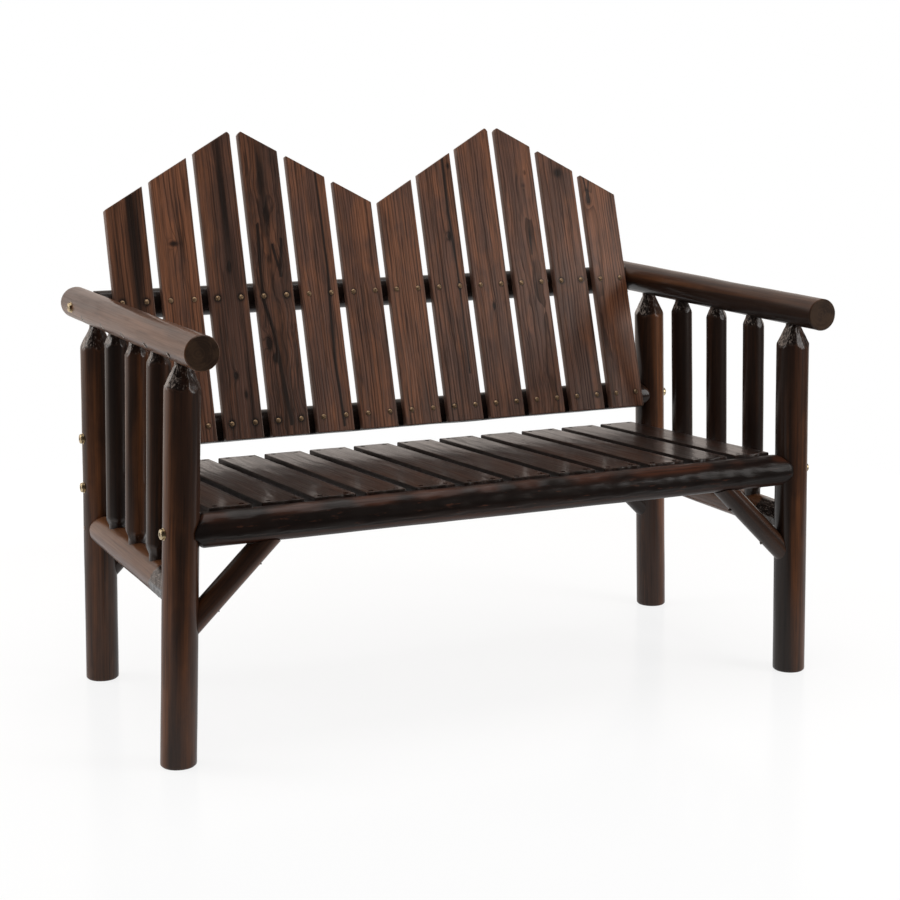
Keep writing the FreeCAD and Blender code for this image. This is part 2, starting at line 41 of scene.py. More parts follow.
# The bench's main sizes in metres, as the solid model has them. Front is -Y, left is -X.
bench = dict(
    legSpacing=1.168, rowSpacing=0.508,
    splay={
        ("left", "front"): 0.0205, ("left", "rear"): 0.0055, ("right", "front"): 0.0095,
        ("right", "rear"): 0.0205,
    },
    armLength=0.74, armOverhang=0.09, armHeight=0.6865, frontRailHeight=0.385, rearRailHeight=0.3625,
    backRailHeight=0.453, sideRailHeight=0.287, braceReach=0.172, backLean=radians(17), legRadius=0.03,
    armRadius=0.0285, frontRailRadius=0.03, rearRailRadius=0.0285, backRailRadius=0.0285,
    sideRailRadius=0.0285, spindleRadius=0.02025, braceRadius=0.0195, tenonRadius=0.0125, tenonPastAxis=0.005,
    boardCount=12, boardWidth=0.0755, boardPitch=0.092, boardThickness=0.016, screwSpread=0.046,
    copeGap=0.0002, spindleMiddle=0.1,
)
sideSign = {"left": -1, "right": 1}
frontY = bench["armOverhang"] - bench["armLength"] / 2
rearY = frontY + bench["rowSpacing"]
rowY = {"front": frontY, "rear": rearY}
upperRailY = rearY + (bench["armHeight"] - bench["backRailHeight"]) * tan(bench["backLean"])
seatSlope = atan2(bench["frontRailHeight"] - bench["rearRailHeight"], bench["rowSpacing"])
seatRun = bench["rowSpacing"] / cos(seatSlope)


def legPoint(side, row, height):
    out = bench["legSpacing"] / 2 + bench["splay"][(side, row)] * (1 - height / bench["armHeight"])
    return Vector((sideSign[side] * out, rowY[row], height))


def sideRailPoint(side, y):
    front = legPoint(side, "front", bench["sideRailHeight"])
    rear = legPoint(side, "rear", bench["sideRailHeight"])
    return front.lerp(rear, (y - frontY) / bench["rowSpacing"])


def legWay(side, row):
    return legPoint(side, row, 1) - legPoint(side, row, 0)


def legCope(side, row, height):
    # Where a log's end is coped round a leg: a point on the leg's axis, its way and the radius.
    return legPoint(side, row, height), legWay(side, row), bench["legRadius"] + bench["copeGap"]


# Small helpers


def unit(value):
    return max(0.0, min(1.0, value))


def bell(far, width):
    return exp(-((far / width) ** 2))


def ringWay(around):
    return Vector((cos(around), sin(around), 0))


def link(obj):
    bpy.context.scene.collection.objects.link(obj)
    return obj


def meshObject(name, bm):
    mesh = bpy.data.meshes.new(name)
    bm.to_mesh(mesh)
    bm.free()
    return link(bpy.data.objects.new(name, mesh))


class Nodes:
    # Adds nodes to one tree. A value that is a socket becomes a link.
    def __init__(self, tree):
        self.tree = tree

    def add(self, kind, values=None, **settings):
        node = self.tree.nodes.new("ShaderNode" + kind)
        for key, value in settings.items():
            setattr(node, key, value)
        for key, value in (values or {}).items():
            socket = node.inputs[key]
            if isinstance(value, bpy.types.NodeSocket):
                self.tree.links.new(value, socket)
            else:
                socket.default_value = value
        return node

    def maths(self, operation, a, b=0.0, clamp=False):
        return self.add("Math", {0: a, 1: b}, operation=operation, use_clamp=clamp).outputs[0]

    def plus(self, a, b):
        return self.maths("ADD", a, b)

    def minus(self, a, b, clamp=False):
        return self.maths("SUBTRACT", a, b, clamp)

    def times(self, a, b, clamp=False):
        return self.maths("MULTIPLY", a, b, clamp)

    def larger(self, a, b):
        return self.maths("MAXIMUM", a, b)

    def vector(self, operation, a, b=(0, 0, 0)):
        node = self.add("VectorMath", {0: a, 1: b}, operation=operation)
        return node.outputs["Value" if operation == "LENGTH" else "Vector"]

    def ramp(self, value, low, high, toLow=0.0, toHigh=1.0, smooth=True):
        values = {"Value": value, "From Min": low, "From Max": high, "To Min": toLow, "To Max": toHigh}
        kind = "SMOOTHSTEP" if smooth else "LINEAR"
        return self.add("MapRange", values, interpolation_type=kind).outputs["Result"]

    def mix(self, share, a, b):
        a, b = (c if isinstance(c, bpy.types.NodeSocket) else (*c, 1.0) for c in (a, b))
        return self.add("Mix", {0: share, 6: a, 7: b}, data_type="RGBA").outputs[2]

    def noise(self, place, stretch, detail=3.0, roughness=0.55, distortion=0.0):
        values = {"Vector": self.vector("MULTIPLY", place, stretch), "Scale": 1.0}
        values.update({"Detail": detail, "Roughness": roughness, "Distortion": distortion})
        return self.add("TexNoise", values, noise_dimensions="3D")

    def finish(self, kind, last):
        sink = self.add("Output" + kind)
        self.tree.links.new(last.outputs[0], sink.inputs["Surface"])


def newMaterial(name):
    material = bpy.data.materials.new(name)
    material.use_nodes = True
    material.node_tree.nodes.clear()
    return material, Nodes(material.node_tree)


def buildGrainGroup():
    # Growth rings round a wandering pith, fibres and streaks along the log, and burnt bands.
    names = ["Ring", "Fibre", "Streak", "Band", "Tone", "Mottle", "Height"]
    tree = bpy.data.node_groups.new("charredGrain", "ShaderNodeTree")
    inputs = {"Place": (0, 0, 0), "Knot": (9, 9, 9), "Figure": 0.3, "Rings": 180.0, "Wander": 0.006}
    for key, value in inputs.items():
        kind = "NodeSocketFloat" if isinstance(value, float) else "NodeSocketVector"
        tree.interface.new_socket(key, in_out="INPUT", socket_type=kind).default_value = value
    for key in names:
        tree.interface.new_socket(key, in_out="OUTPUT", socket_type="NodeSocketFloat")
    given = tree.nodes.new("NodeGroupInput").outputs
    out = tree.nodes.new("NodeGroupOutput").inputs
    n = Nodes(tree)
    place = given["Place"]
    centred = []
    for stretch in ((9, 9, 3.2), (34, 34, 14)):
        sway = n.noise(place, stretch, detail=1.5).outputs["Color"]
        centred.append(n.vector("SUBTRACT", sway, (0.5, 0.5, 0.5)))
    moved = place
    for sway, least, gain in ((centred[0], 0.6, 1.6), (centred[1], 0.0, 1.5)):
        amount = n.plus(n.times(given["Figure"], gain), least)
        amount = n.times(amount, given["Wander"])
        reach = n.add("CombineXYZ", {"X": amount, "Y": amount}).outputs[0]
        moved = n.vector("ADD", moved, n.vector("MULTIPLY", sway, reach))
    radius = n.vector("LENGTH", n.vector("MULTIPLY", moved, (1, 1, 0)))
    knotFar = n.vector("LENGTH", given["Knot"])
    knotPull = n.maths("DIVIDE", 0.02, n.plus(n.maths("POWER", knotFar, 2.0), 0.9))
    phase = n.times(n.plus(radius, knotPull), given["Rings"])
    drift = n.noise(place, (22, 22, 1.2), detail=2.0).outputs[0]
    phase = n.plus(phase, n.times(drift, 4.0))
    saw = n.maths("FRACT", phase)
    line = n.minus(n.ramp(saw, 0.4, 0.88), n.ramp(saw, 0.92, 1.0))
    count = n.maths("FLOOR", phase)
    chance = n.add("TexWhiteNoise", {"W": count}, noise_dimensions="1D").outputs["Value"]
    ring = n.times(line, n.ramp(chance, 0.0, 1.0, 0.2, 1.0, smooth=False))
    fibre = n.noise(place, (390, 390, 8), detail=3.0, roughness=0.65).outputs[0]
    streak = n.noise(moved, (210, 210, 3.5), detail=3.0, roughness=0.6, distortion=0.2).outputs[0]
    band = n.noise(place, (62, 62, 2.2), detail=3.0, roughness=0.62, distortion=0.35).outputs[0]
    tone = n.noise(place, (30, 30, 1.6), detail=2.0).outputs[0]
    mottle = n.noise(place, (30, 30, 13), detail=3.0, roughness=0.6, distortion=0.6).outputs[0]
    height = n.plus(n.times(ring, -0.6), n.times(fibre, 0.5))
    for name, value in zip(names, (ring, fibre, streak, band, tone, mottle, height)):
        tree.links.new(value, out[name])
    return tree


grainGroup = buildGrainGroup()


def woodMaterial(name, look):
    material, n = newMaterial(name)
    names = ("grain", "knot", "piece", "hewn", "sawn")
    own = {key: n.add("Attribute", attribute_name=key).outputs for key in names}
    place, hewn, sawn = own["grain"]["Vector"], own["hewn"]["Fac"], own["sawn"]["Fac"]
    warmth, burn, figure = n.add("SeparateXYZ", {0: own["piece"]["Vector"]}).outputs
    values = {"Place": place, "Knot": own["knot"]["Vector"], "Figure": figure}
    values.update({"Rings": look["rings"], "Wander": look["wander"]})
    got = n.add("Group", values, node_tree=grainGroup).outputs
    warm = warmth
    for key, share in (("Tone", look["tone"]), ("Mottle", look["mottle"])):
        warm = n.plus(warm, n.times(n.minus(got[key], 0.5), share))
    colour = n.mix(n.ramp(warm, 0.0, 1.0), look["brown"], look["orange"])
    pale = n.times(n.ramp(got["Fibre"], 0.56, 0.72), look["paleShare"])
    colour = n.mix(pale, colour, look["pale"])
    # darker fibres, ring lines and streaks, then burnt bands where noise and the piece's own marks meet; the
    # marks' burn also carries the painted shade that some pieces are given
    for key, low, high, share in look["darkening"]:
        shade = n.times(n.ramp(got[key], low, high), share)
        colour = n.mix(shade, colour, look["burnt" if key != "Fibre" else "dark"])
    lines = n.larger(got["Ring"], n.ramp(got["Streak"], 0.5, 0.68))
    scorchAndShade = n.plus(n.times(got["Band"], 0.55), n.times(burn, 0.6))
    scorchAndShade = n.ramp(scorchAndShade, look["bandLow"], look["bandHigh"])
    colour = n.mix(n.times(scorchAndShade, 0.92), colour, look["burnt"])
    # chip specks on the cuts: on the logs a painted glint, pale spots where the glossy cuts would catch
    # light; on the bark its reddish patches; hewn values above 1 spread more of them as painted highlight
    chips = n.noise(place, look["chipSize"], detail=4.0, roughness=0.7).outputs[0]
    extraGlint = n.times(n.larger(n.minus(hewn, 1.0), 0.0), look["glintReach"])
    chipAndGlintShare = n.times(n.ramp(n.plus(chips, extraGlint), *look["chipCover"]), hewn, clamp=True)
    hewnColour = n.mix(chipAndGlintShare, look["hewn"], look["chipAndGlint"])
    colour = n.mix(n.times(hewn, look["hewnShare"]), colour, hewnColour)
    # a painted highlight: a pale line where the knife cuts begin, along the shoulder's edge
    rim = n.minus(n.ramp(hewn, 0.02, 0.2), n.ramp(hewn, 0.35, 0.6))
    colour = n.mix(n.times(rim, look["shoulderHighlightShare"]), colour, look["pale"])
    patches = n.times(n.ramp(got["Mottle"], 0.4, 0.62), 0.7)
    patches = n.plus(patches, n.times(got["Ring"], 0.35))
    sawnColour = n.mix(patches, look["sawn"], look["sawnRing"])
    colour = n.mix(sawn, colour, sawnColour)
    coat = n.minus(1.0, n.times(lines, look["coatLines"]))
    matt = n.minus(1.0, n.times(hewn, look["hewnMatt"]), clamp=True)
    coat = n.times(coat, matt)
    coat = n.times(coat, n.ramp(sawn, 0.0, 1.0, look["coat"], 0.03, smooth=False))
    rough = n.ramp(got["Fibre"], 0.25, 0.75, look["roughLow"], look["roughHigh"])
    rough = n.minus(rough, n.times(hewn, look["hewnGloss"]))
    hewnHeight = n.times(chips, n.times(hewn, look["hewnRelief"]))
    height = n.plus(n.times(got["Height"], look["relief"]), hewnHeight)
    bumps = []
    for strength in (look["bump"], look["coatBump"]):
        values = {"Height": height, "Strength": strength, "Distance": look["bumpDepth"]}
        bumps.append(n.add("Bump", values).outputs[0])
    shader = n.add(
        "BsdfPrincipled",
        {
            "Base Color": colour, "Roughness": rough, "Normal": bumps[0], "IOR": look["ior"],
            "Specular IOR Level": look["specular"], "Specular Tint": (*look["specTint"], 1.0),
            "Coat Weight": coat, "Coat Roughness": look["coatRoughness"], "Coat IOR": 1.5,
            "Coat Normal": bumps[1],
        },
    )
    n.finish("Material", shader)
    return material


logLook = dict(
    rings=200.0, wander=0.008, tone=3.2, mottle=1.0, brown=(0.067, 0.0225, 0.0086),
    orange=(0.175, 0.056, 0.015), dark=(0.014, 0.0062, 0.0042), burnt=(0.007, 0.004, 0.0034),
    # the logs' pale chip colour is a painted glint on the whittled cuts
    pale=(0.15, 0.085, 0.058), paleShare=0.1, hewn=(0.01, 0.006, 0.005), chipAndGlint=(0.25, 0.2, 0.17),
    chipSize=(300, 300, 90), glintReach=0.3, sawn=(0.024, 0.0125, 0.0078), sawnRing=(0.05, 0.027, 0.015),
    # the shoulder line's share of pale colour is a painted highlight
    shoulderHighlightShare=0.1, chipCover=(0.52, 0.74),
    darkening=(("Fibre", 0.35, 0.7, 0.34), ("Ring", 0.1, 1.0, 0.22), ("Streak", 0.5, 0.72, 0.5)),
    bandLow=0.42, bandHigh=0.8, hewnShare=0.9, hewnGloss=0.18, hewnMatt=0.0, roughLow=0.42, roughHigh=0.54,
    relief=0.5, hewnRelief=1.9, bump=0.25, bumpDepth=0.0008, ior=1.45, specular=0.18,
    specTint=(1.0, 0.86, 0.76), coat=0.56, coatLines=0.25, coatRoughness=0.19, coatBump=0.08,
)
backLook = dict(
    logLook, rings=190.0, wander=0.01, tone=2.2, mottle=1.9, brown=(0.132, 0.06, 0.04),
    orange=(0.245, 0.092, 0.043), dark=(0.02, 0.0078, 0.005), burnt=(0.007, 0.0036, 0.003),
    # the back boards' pale hewn and chip colours paint a highlight along their edges
    pale=(0.28, 0.165, 0.12), paleShare=0.34, chipCover=(0.58, 0.7), hewn=(0.15, 0.085, 0.062),
    chipAndGlint=(0.28, 0.19, 0.145), hewnGloss=0.0, hewnRelief=0.5, shoulderHighlightShare=0.0,
    darkening=(("Fibre", 0.4, 0.62, 0.45), ("Ring", 0.05, 0.95, 0.58), ("Streak", 0.5, 0.68, 0.58)),
    relief=1.0, bump=0.5, specular=0.32, coat=0.18, coatLines=0.9, coatRoughness=0.26, roughLow=0.34,
    roughHigh=0.48,
)
seatLook = dict(
    logLook, rings=170.0, wander=0.012, mottle=1.5, brown=(0.02, 0.009, 0.006),
    orange=(0.044, 0.0165, 0.0085), dark=(0.008, 0.0046, 0.0038), burnt=(0.005, 0.0034, 0.003),
    # the seat boards' near black hewn colour paints shade on their edges, in the gaps between them
    pale=(0.06, 0.035, 0.026), paleShare=0.15, hewn=(0.006, 0.004, 0.0035), chipAndGlint=(0.03, 0.018, 0.013),
    chipCover=(0.58, 0.7), hewnGloss=-0.15, hewnMatt=1.4, hewnRelief=1.0, shoulderHighlightShare=0.0,
    darkening=(("Fibre", 0.38, 0.64, 0.5), ("Ring", 0.05, 0.95, 0.7), ("Streak", 0.5, 0.68, 0.75)),
    relief=1.0, bump=0.4, specular=0.2, coat=0.48, coatLines=0.85, coatRoughness=0.13, coatBump=0.22,
    roughLow=0.32, roughHigh=0.46,
)
armWoodLook = dict(
    logLook, tone=2.2, mottle=0.8, orange=(0.15, 0.056, 0.02),
    darkening=(("Fibre", 0.35, 0.7, 0.2), ("Ring", 0.1, 1.0, 0.15), ("Streak", 0.5, 0.72, 0.26)),
)
barkLook = dict(
    logLook, hewn=(0.006, 0.0038, 0.0034), chipAndGlint=(0.07, 0.024, 0.013), chipSize=(150, 150, 24),
    chipCover=(0.58, 0.7), hewnShare=0.92, hewnGloss=0.05, hewnRelief=2.2, coat=0.26, coatLines=0.5,
    coatRoughness=0.17, coatBump=0.3, specular=0.15, shoulderHighlightShare=0.0, brown=(0.012, 0.0062, 0.0048),
    orange=(0.075, 0.022, 0.0095),
)
logWood = woodMaterial("charredLog", logLook)
armWood = woodMaterial("charredSmoothLog", armWoodLook)
barkWood = woodMaterial("charredBarkLog", barkLook)
backWood = woodMaterial("charredBackBoard", backLook)
seatWood = woodMaterial("charredSeatBoard", seatLook)
print("wood materials built")

# Logs


def frameAlong(start, end, towards):
    # A frame at start with Z to the end and Y as near as can be to a given direction.
    z = (end - start).normalized()
    y = (towards - z * towards.dot(z)).normalized()
    x = y.cross(z)
    return Matrix.Translation(start) @ Matrix((x, y, z)).transposed().to_4x4()


def linear(points, t):
    # A value between the given (place, value) pairs.
    for (a, u), (b, v) in zip(points, points[1:]):
        if t <= b:
            return u + (v - u) * (t - a) / (b - a) if b > a and t > a else u
    return points[-1][1]


def whittlePlanes(rng, start, slope, radius, count, steep, unevenness):
    # Flat knife cuts round a log: each has a direction, a start, and a slope towards the tip.
    turn = rng.uniform(0, tau)
    planes = []
    for k in range(count):
        around = turn + tau * (k + rng.uniform(-0.28, 0.28)) / count
        place = start + rng.uniform(-1, 1) * unevenness
        planes.append((around, place, slope * rng.uniform(1 - steep, 1 + steep), radius))
    return planes


def whittled(planes, around, t, way):
    # The radius that the knife cuts leave; way is 1 for a taper that runs forward, -1 backward.
    low = 1.0
    for turn, start, slope, radius in planes:
        facing = cos(around - turn)
        if facing > 0.35:
            low = min(low, (radius - (t - start) * way * slope) / facing)
    return low


def copeAt(point, way, axisPoint, axisWay, radius):
    # How far a line from point along way runs before it meets a round log.
    axisWay = axisWay.normalized()
    off = point - axisPoint
    a = way - axisWay * way.dot(axisWay)
    b = off - axisWay * off.dot(axisWay)
    half = a.dot(b)
    root = max(0.0, half * half - a.dot(a) * (b.dot(b) - radius * radius))
    return (-half - sqrt(root)) / a.dot(a)


def stationList(length, step, fine, fineStep):
    # Places of the rings along a log, closer together in the fine stretches.
    places = [0.0]
    while places[-1] < length - 1e-6:
        t = places[-1]
        inside = any(a - 1e-9 <= t < b for a, b in fine)
        ahead = [a for a, b in fine if a > t + 1e-6] + [length]
        places.append(min(t + (fineStep if inside else step), min(ahead), length))
    return places


def turnedBody(bm, start, way, steps):
    # A round body along a line; steps are (distance, radius) pairs from one end to the other.
    place = frameAlong(start, start + way, Vector((0.31, 0.62, 0.72)))
    first, radius = steps[0]
    made = bmesh.ops.create_circle(
        bm, segments=32, radius=radius, matrix=place @ Matrix.Translation((0, 0, first)),
    )
    ring = made["verts"]
    rim = list({e for v in ring for e in v.link_edges})
    caps = [rim]
    for (a, u), (b, w) in zip(steps, steps[1:]):
        grown = bmesh.ops.extrude_edge_only(bm, edges=rim)["geom"]
        ring = [g for g in grown if isinstance(g, bmesh.types.BMVert)]
        rim = [g for g in grown if isinstance(g, bmesh.types.BMEdge)]
        rim = [e for e in rim if all(v in ring for v in e.verts)]
        centred = place @ Matrix.Translation((0, 0, a))
        bmesh.ops.scale(bm, vec=(w / u, w / u, 1), space=centred.inverted(), verts=ring)
        bmesh.ops.translate(bm, vec=(0, 0, b - a), space=place.to_3x3().to_4x4().inverted(), verts=ring)
    caps.append(rim)
    for edges in caps:
        bmesh.ops.contextual_create(bm, geom=edges)


def cutBy(obj, bodies):
    # Takes round holes out of a piece.
    bm = bmesh.new()
    for start, way, steps in bodies:
        turnedBody(bm, start, way, steps)
    bmesh.ops.recalc_face_normals(bm, faces=list(bm.faces))
    cutter = meshObject("cutter", bm)
    change = obj.modifiers.new("holes", "BOOLEAN")
    change.operation = "DIFFERENCE"
    change.solver = "EXACT"
    change.object = cutter
    bpy.context.view_layer.update()
    done = bpy.data.meshes.new_from_object(obj.evaluated_get(bpy.context.evaluated_depsgraph_get()))
    obj.modifiers.clear()
    old = obj.data
    obj.data = done
    bpy.data.meshes.remove(old)
    bpy.data.objects.remove(cutter)


def seedFrom(rng):
    return Vector((rng.uniform(0, 50), rng.uniform(0, 50), rng.uniform(0, 50)))


def paintPiece(obj, place, pith, knot, toneAt, hewnAt, sawnAt=lambda p: 0.0):
    # Stores each point's place in its own log or board, which the wood material reads.
    mesh = obj.data
    inverse = place.inverted()
    grain, knots, tones, hewn, sawn = [], [], [], [], []
    for v in mesh.vertices:
        p = inverse @ v.co
        grain += (p + pith)[:]
        knots += [(p[k] - knot[0][k]) / knot[1][k] for k in range(3)] if knot else (9, 9, 9)
        tones += toneAt(p)
        hewn.append(hewnAt(p))
        sawn.append(sawnAt(p))
    for name, values in (("grain", grain), ("knot", knots), ("piece", tones)):
        mesh.attributes.new(name, "FLOAT_VECTOR", "POINT").data.foreach_set("vector", values)
    for name, values in (("hewn", hewn), ("sawn", sawn)):
        mesh.attributes.new(name, "FLOAT", "POINT").data.foreach_set("value", values)


def finishPiece(obj, material, node):
    obj.data.materials.clear()
    obj.data.materials.append(material)
    for polygon in obj.data.polygons:
        polygon.use_smooth = True
    obj.data.set_sharp_from_angle(angle=radians(38))
    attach(obj, "root")
    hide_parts(node)


def tube(radius, length, segments, stations, capRings):
    # A closed round tube from 0 to its length, with rings at the stations and in its two caps.
    bm = bmesh.new()
    bmesh.ops.create_cone(bm, cap_ends=True, segments=segments, radius1=radius, radius2=radius, depth=length)
    caps = [f for f in bm.faces if len(f.verts) > 4]
    for cap in caps:
        for k in range(capRings):
            bmesh.ops.inset_region(bm, faces=[cap], thickness=radius / (capRings + 1))
    uprights = [e for e in bm.edges if abs(e.verts[0].co.z - e.verts[1].co.z) > length / 2]
    bmesh.ops.subdivide_edges(bm, edges=uprights, cuts=len(stations) - 2, use_grid_fill=True)
    for v in bm.verts:
        v.co.z = stations[round((v.co.z / length + 0.5) * (len(stations) - 1))]
    return bm


logFigure = 0.3  # how wavy the logs' grain is


def makeLog(node, start, end, radius, **spec):
    rng = random.Random(node)
    towards = Vector(spec.get("up", (0, 0, 1)))
    place = frameAlong(start, end, towards)
    length = (end - start).length
    seed = seedFrom(rng)
    copes = spec.get("copes", {})
    stations = stationList(
        length, spec.get("step", 0.009), spec.get("fine", []), spec.get("fineStep", 0.0022),
    )
    bm = tube(radius, length, spec.get("segments", 72), stations, 4 if copes else 0)
    inverse = place.inverted()
    local = {k: (inverse @ p, (inverse.to_3x3() @ w).normalized(), r) for k, (p, w, r) in copes.items()}
    profile = spec.get("profile", [(0, radius), (length, radius)])
    lump = spec.get("lump", 0.0007)
    shape = spec.get("shape")
    for v in bm.verts:
        t = v.co.z
        around = atan2(v.co.y, v.co.x)
        share = min(1.0, hypot(v.co.x, v.co.y) / radius)
        r = linear(profile, t)
        side = ringWay(around)
        soft = noise.noise(side * 1.1 + Vector((0, 0, t * 7)) + seed) * 0.7
        soft += noise.noise(side * 2.3 + Vector((0, 0, t * 21)) + seed) * 0.3
        r -= lump * (0.5 + soft) * min(1.0, r / radius)
        if shape:
            r = shape(r, around, t, seed)
        sway, rise = (linear(spec.get(key, [(0, 0)]), t) for key in ("sway", "rise"))
        v.co = Vector((share * r * side.x + sway, share * r * side.y + rise, t))
    for v in bm.verts:
        t = v.co.z
        base = Vector((v.co.x, v.co.y, length / 2))
        low, high = 0.0, length
        if "start" in local:
            low = length / 2 - copeAt(base, Vector((0, 0, -1)), *local["start"])
        if "end" in local:
            high = length / 2 + copeAt(base, Vector((0, 0, 1)), *local["end"])
        if "shortest" in spec:
            low, high = max(low, spec["shortest"][0]), min(high, length - spec["shortest"][1])
        if "floor" in spec:
            # the foot's end lies level although the leg leans
            low = -(place @ base - place @ Vector((0, 0, base.z))).z / place.col[2].z
        v.co.z = low + (high - low) * t / length
    bmesh.ops.recalc_face_normals(bm, faces=list(bm.faces))
    bmesh.ops.transform(bm, matrix=place, verts=list(bm.verts))
    obj = meshObject(node + "_log", bm)
    for bodies in spec.get("cutters", []):
        cutBy(obj, bodies)
    pith = Vector((rng.uniform(-0.004, 0.004), rng.uniform(-0.004, 0.004), rng.uniform(3, 40)))
    hewnAt = spec.get("hewn", lambda p: 0.0)
    toneAt = spec.get("toneAt", lambda p: (spec["warmth"], spec["burn"], logFigure))
    sawnAt = spec.get("sawn", lambda p: 0.0)
    paintPiece(obj, place, pith, None, toneAt, hewnAt, sawnAt)
    finishPiece(obj, spec.get("material", logWood), node)


# Bolts through legs and armrests: spot face, bolt hole and the barrel nut's pocket.
boltPlace = dict(
    washerRadius=0.0104, spotDepth=0.0022, holeRadius=0.0044, nutFromLog=0.075, pastNut=0.0104,
    pocketRadius=0.00615, pocketHalf=0.01315, overrun=0.006,
)


def boltBody(axisPoint, radius, sign):
    # The bolt's hole right through a log, and the spot face for its washer.
    out = Vector((sign, 0, 0))
    reach = boltPlace["overrun"] + radius
    seat = reach + radius - boltPlace["spotDepth"]
    r, h = boltPlace["washerRadius"], boltPlace["holeRadius"]
    return axisPoint - out * reach, out, [(0, h), (seat, h), (seat, r), (reach + reach, r)]


def railBoltBodies(axisPoint, sign, railRadius):
    out = Vector((sign, 0, 0))
    nut = axisPoint - out * boltPlace["nutFromLog"]
    h, p = boltPlace["holeRadius"], boltPlace["pocketRadius"]
    back = Vector((0, 1, 0))
    hole = (nut - out * boltPlace["pastNut"], out, [(0, h), (boltPlace["nutFromLog"], h)])
    pocket = (nut - back * boltPlace["pocketHalf"], back, [(0, p), (railRadius + 0.02, p)])
    return hole, pocket


# Sunk screws leave a countersunk hole where they enter.
sunkScrew = {"headRadius": 0.0047, "headHeight": 0.0032, "shankRadius": 0.0021, "overrun": 0.005}


def sunkBody(start, way, length, sink=0.0):
    head, shank, lead = sunkScrew["headRadius"], sunkScrew["shankRadius"], sink + sunkScrew["overrun"]
    way = way.normalized()
    steps = [(0, head), (lead, head), (lead + sunkScrew["headHeight"], shank), (lead + length, shank)]
    return start - way * lead, way, steps


def cutDepth(p, radius, least=0.0009, most=0.0024):
    # How far below the round log's surface a point lies, from 0 to 1.
    return unit((radius - hypot(p.x, p.y) - least) / (most - least))


boltedLogs = dict(
    lower_back_rail=("rear", bench["backRailHeight"]), rear_seat_rail=("rear", bench["rearRailHeight"]),
    front_seat_rail=("front", bench["frontRailHeight"]),
)

# Each leg's burn, char with painted shade on its darker sides, is given for the side to the left in the view,
# the middle and the right.
legLook = dict(
    neck=bench["armHeight"] - bench["armRadius"], taper=0.0415, least=(0.013, 0.013), facets=9,
    knobs=(0.0007, 0.009, 0.5), hewnRun=0.05, burnAndShadePlaces=(-0.85, 0.0, 0.85), uneven=(0.13, 0.003),
    screwLength=0.04, footEase=0.0025, sway={("right", "rear"): [(0, 0.0035), (0.6, 0)]},
    warmth={("left", "front"): 0.5, ("left", "rear"): 0.55, ("right", "front"): 0.4, ("right", "rear"): 0.6},
    burn={
        ("left", "front"): (0.45, 0.55, 0.6), ("left", "rear"): (0.54, 0.62, 0.7),
        ("right", "front"): (0.95, 0.6, 0.48), ("right", "rear"): (0.72, 0.58, 0.42),
    },
)


viewTurn = (0.902, 0.432)  # cosine and sine of the view's turn round the bench


def toTheLeft(p):
    # How far a point of a leg or spindle lies to the left in the view, by its own frame.
    return viewTurn[0] * p.x - viewTurn[1] * p.y


def sideLit(p, radius):
    # Cuts facing the view's left get a painted highlight, more of the pale chip colour, than the ones turned
    # away from the view.
    return 1.0 + 0.6 * max(-0.9, min(1.0, toTheLeft(p) / radius))


def knobby(side, t, seed, size, height):
    return height * noise.noise(side * (0.028 / size) + Vector((0, 0, t / size)) + seed * 2.0)


def cutShape(name, cuts, radius, least, look, begin=0.0):
    # A log's shape from a place on: knife cuts down to the least radius, with small knobs on them.
    # Each of the cuts is (start, length, way).
    rng = random.Random(name + "cuts")
    planes = []
    for start, run, way in cuts:
        slope = (radius - least) / run
        planes.append((whittlePlanes(rng, start, slope, radius, look["facets"], *look["uneven"]), way))
    height, size, sink = look["knobs"]

    def shape(r, around, t, seed):
        if t < begin:
            return r
        cut = min(whittled(group, around, t, way) for group, way in planes)
        if cut < r:
            r = cut - height * sink + knobby(ringWay(around), t, seed, size, height)
        return max(r, look["least"][t > bench["spindleMiddle"]])

    return shape


def cutsWithLeftHighlight(radius, top, low=0.0):
    # How deep the knife cuts are, raised on the cuts facing the view's left for their painted highlight;
    # below the place top they get the share low.
    return lambda p: cutDepth(p, radius) * (sideLit(p, radius) if p.z > top else low)


for side in sideSign:
    for row in rowY:
        name = f"{row}_{side}_leg"
        foot, tip = legPoint(side, row, 0), legPoint(side, row, bench["armHeight"])
        up = (tip - foot).normalized()
        length = (tip - foot).length + bench["tenonPastAxis"]
        neck = legLook["neck"] / up.z

        def legToneAndShade(p, corner=(side, row)):
            across = -toTheLeft(p) / bench["legRadius"]
            burn = linear(list(zip(legLook["burnAndShadePlaces"], legLook["burn"][corner])), across)
            return legLook["warmth"][corner], burn, logFigure

        cutters = []
        for railRow, height in boltedLogs.values():
            if railRow == row:
                cutters.append(boltBody(legPoint(side, row, height), bench["legRadius"], sideSign[side]))
        if row == "rear":
            out = Vector((sideSign[side], 0, 0))
            start = legPoint(side, row, bench["sideRailHeight"]) + out * bench["legRadius"]
            cutters.append(sunkBody(start, -out, legLook["screwLength"]))
        taper = legLook["taper"]
        shape = cutShape(
            name, [(neck - taper, taper, 1)], bench["legRadius"], bench["tenonRadius"], legLook,
            neck - 1.5 * taper,
        )
        makeLog(
            name, foot, foot + up * length, bench["legRadius"], up=(0, -1, 0), floor=True,
            profile=[
                (0, bench["legRadius"] - legLook["footEase"]), (legLook["footEase"], bench["legRadius"]),
                (length, bench["legRadius"]),
            ],
            sway=legLook["sway"].get((side, row), [(0, 0)]), lump=0.0005,
            fine=[(0, 0.004), (neck - taper - 0.006, length)], shape=shape,
            hewn=cutsWithLeftHighlight(bench["legRadius"], neck - legLook["hewnRun"]), cutters=[cutters], toneAt=legToneAndShade,
        )
print("legs built")

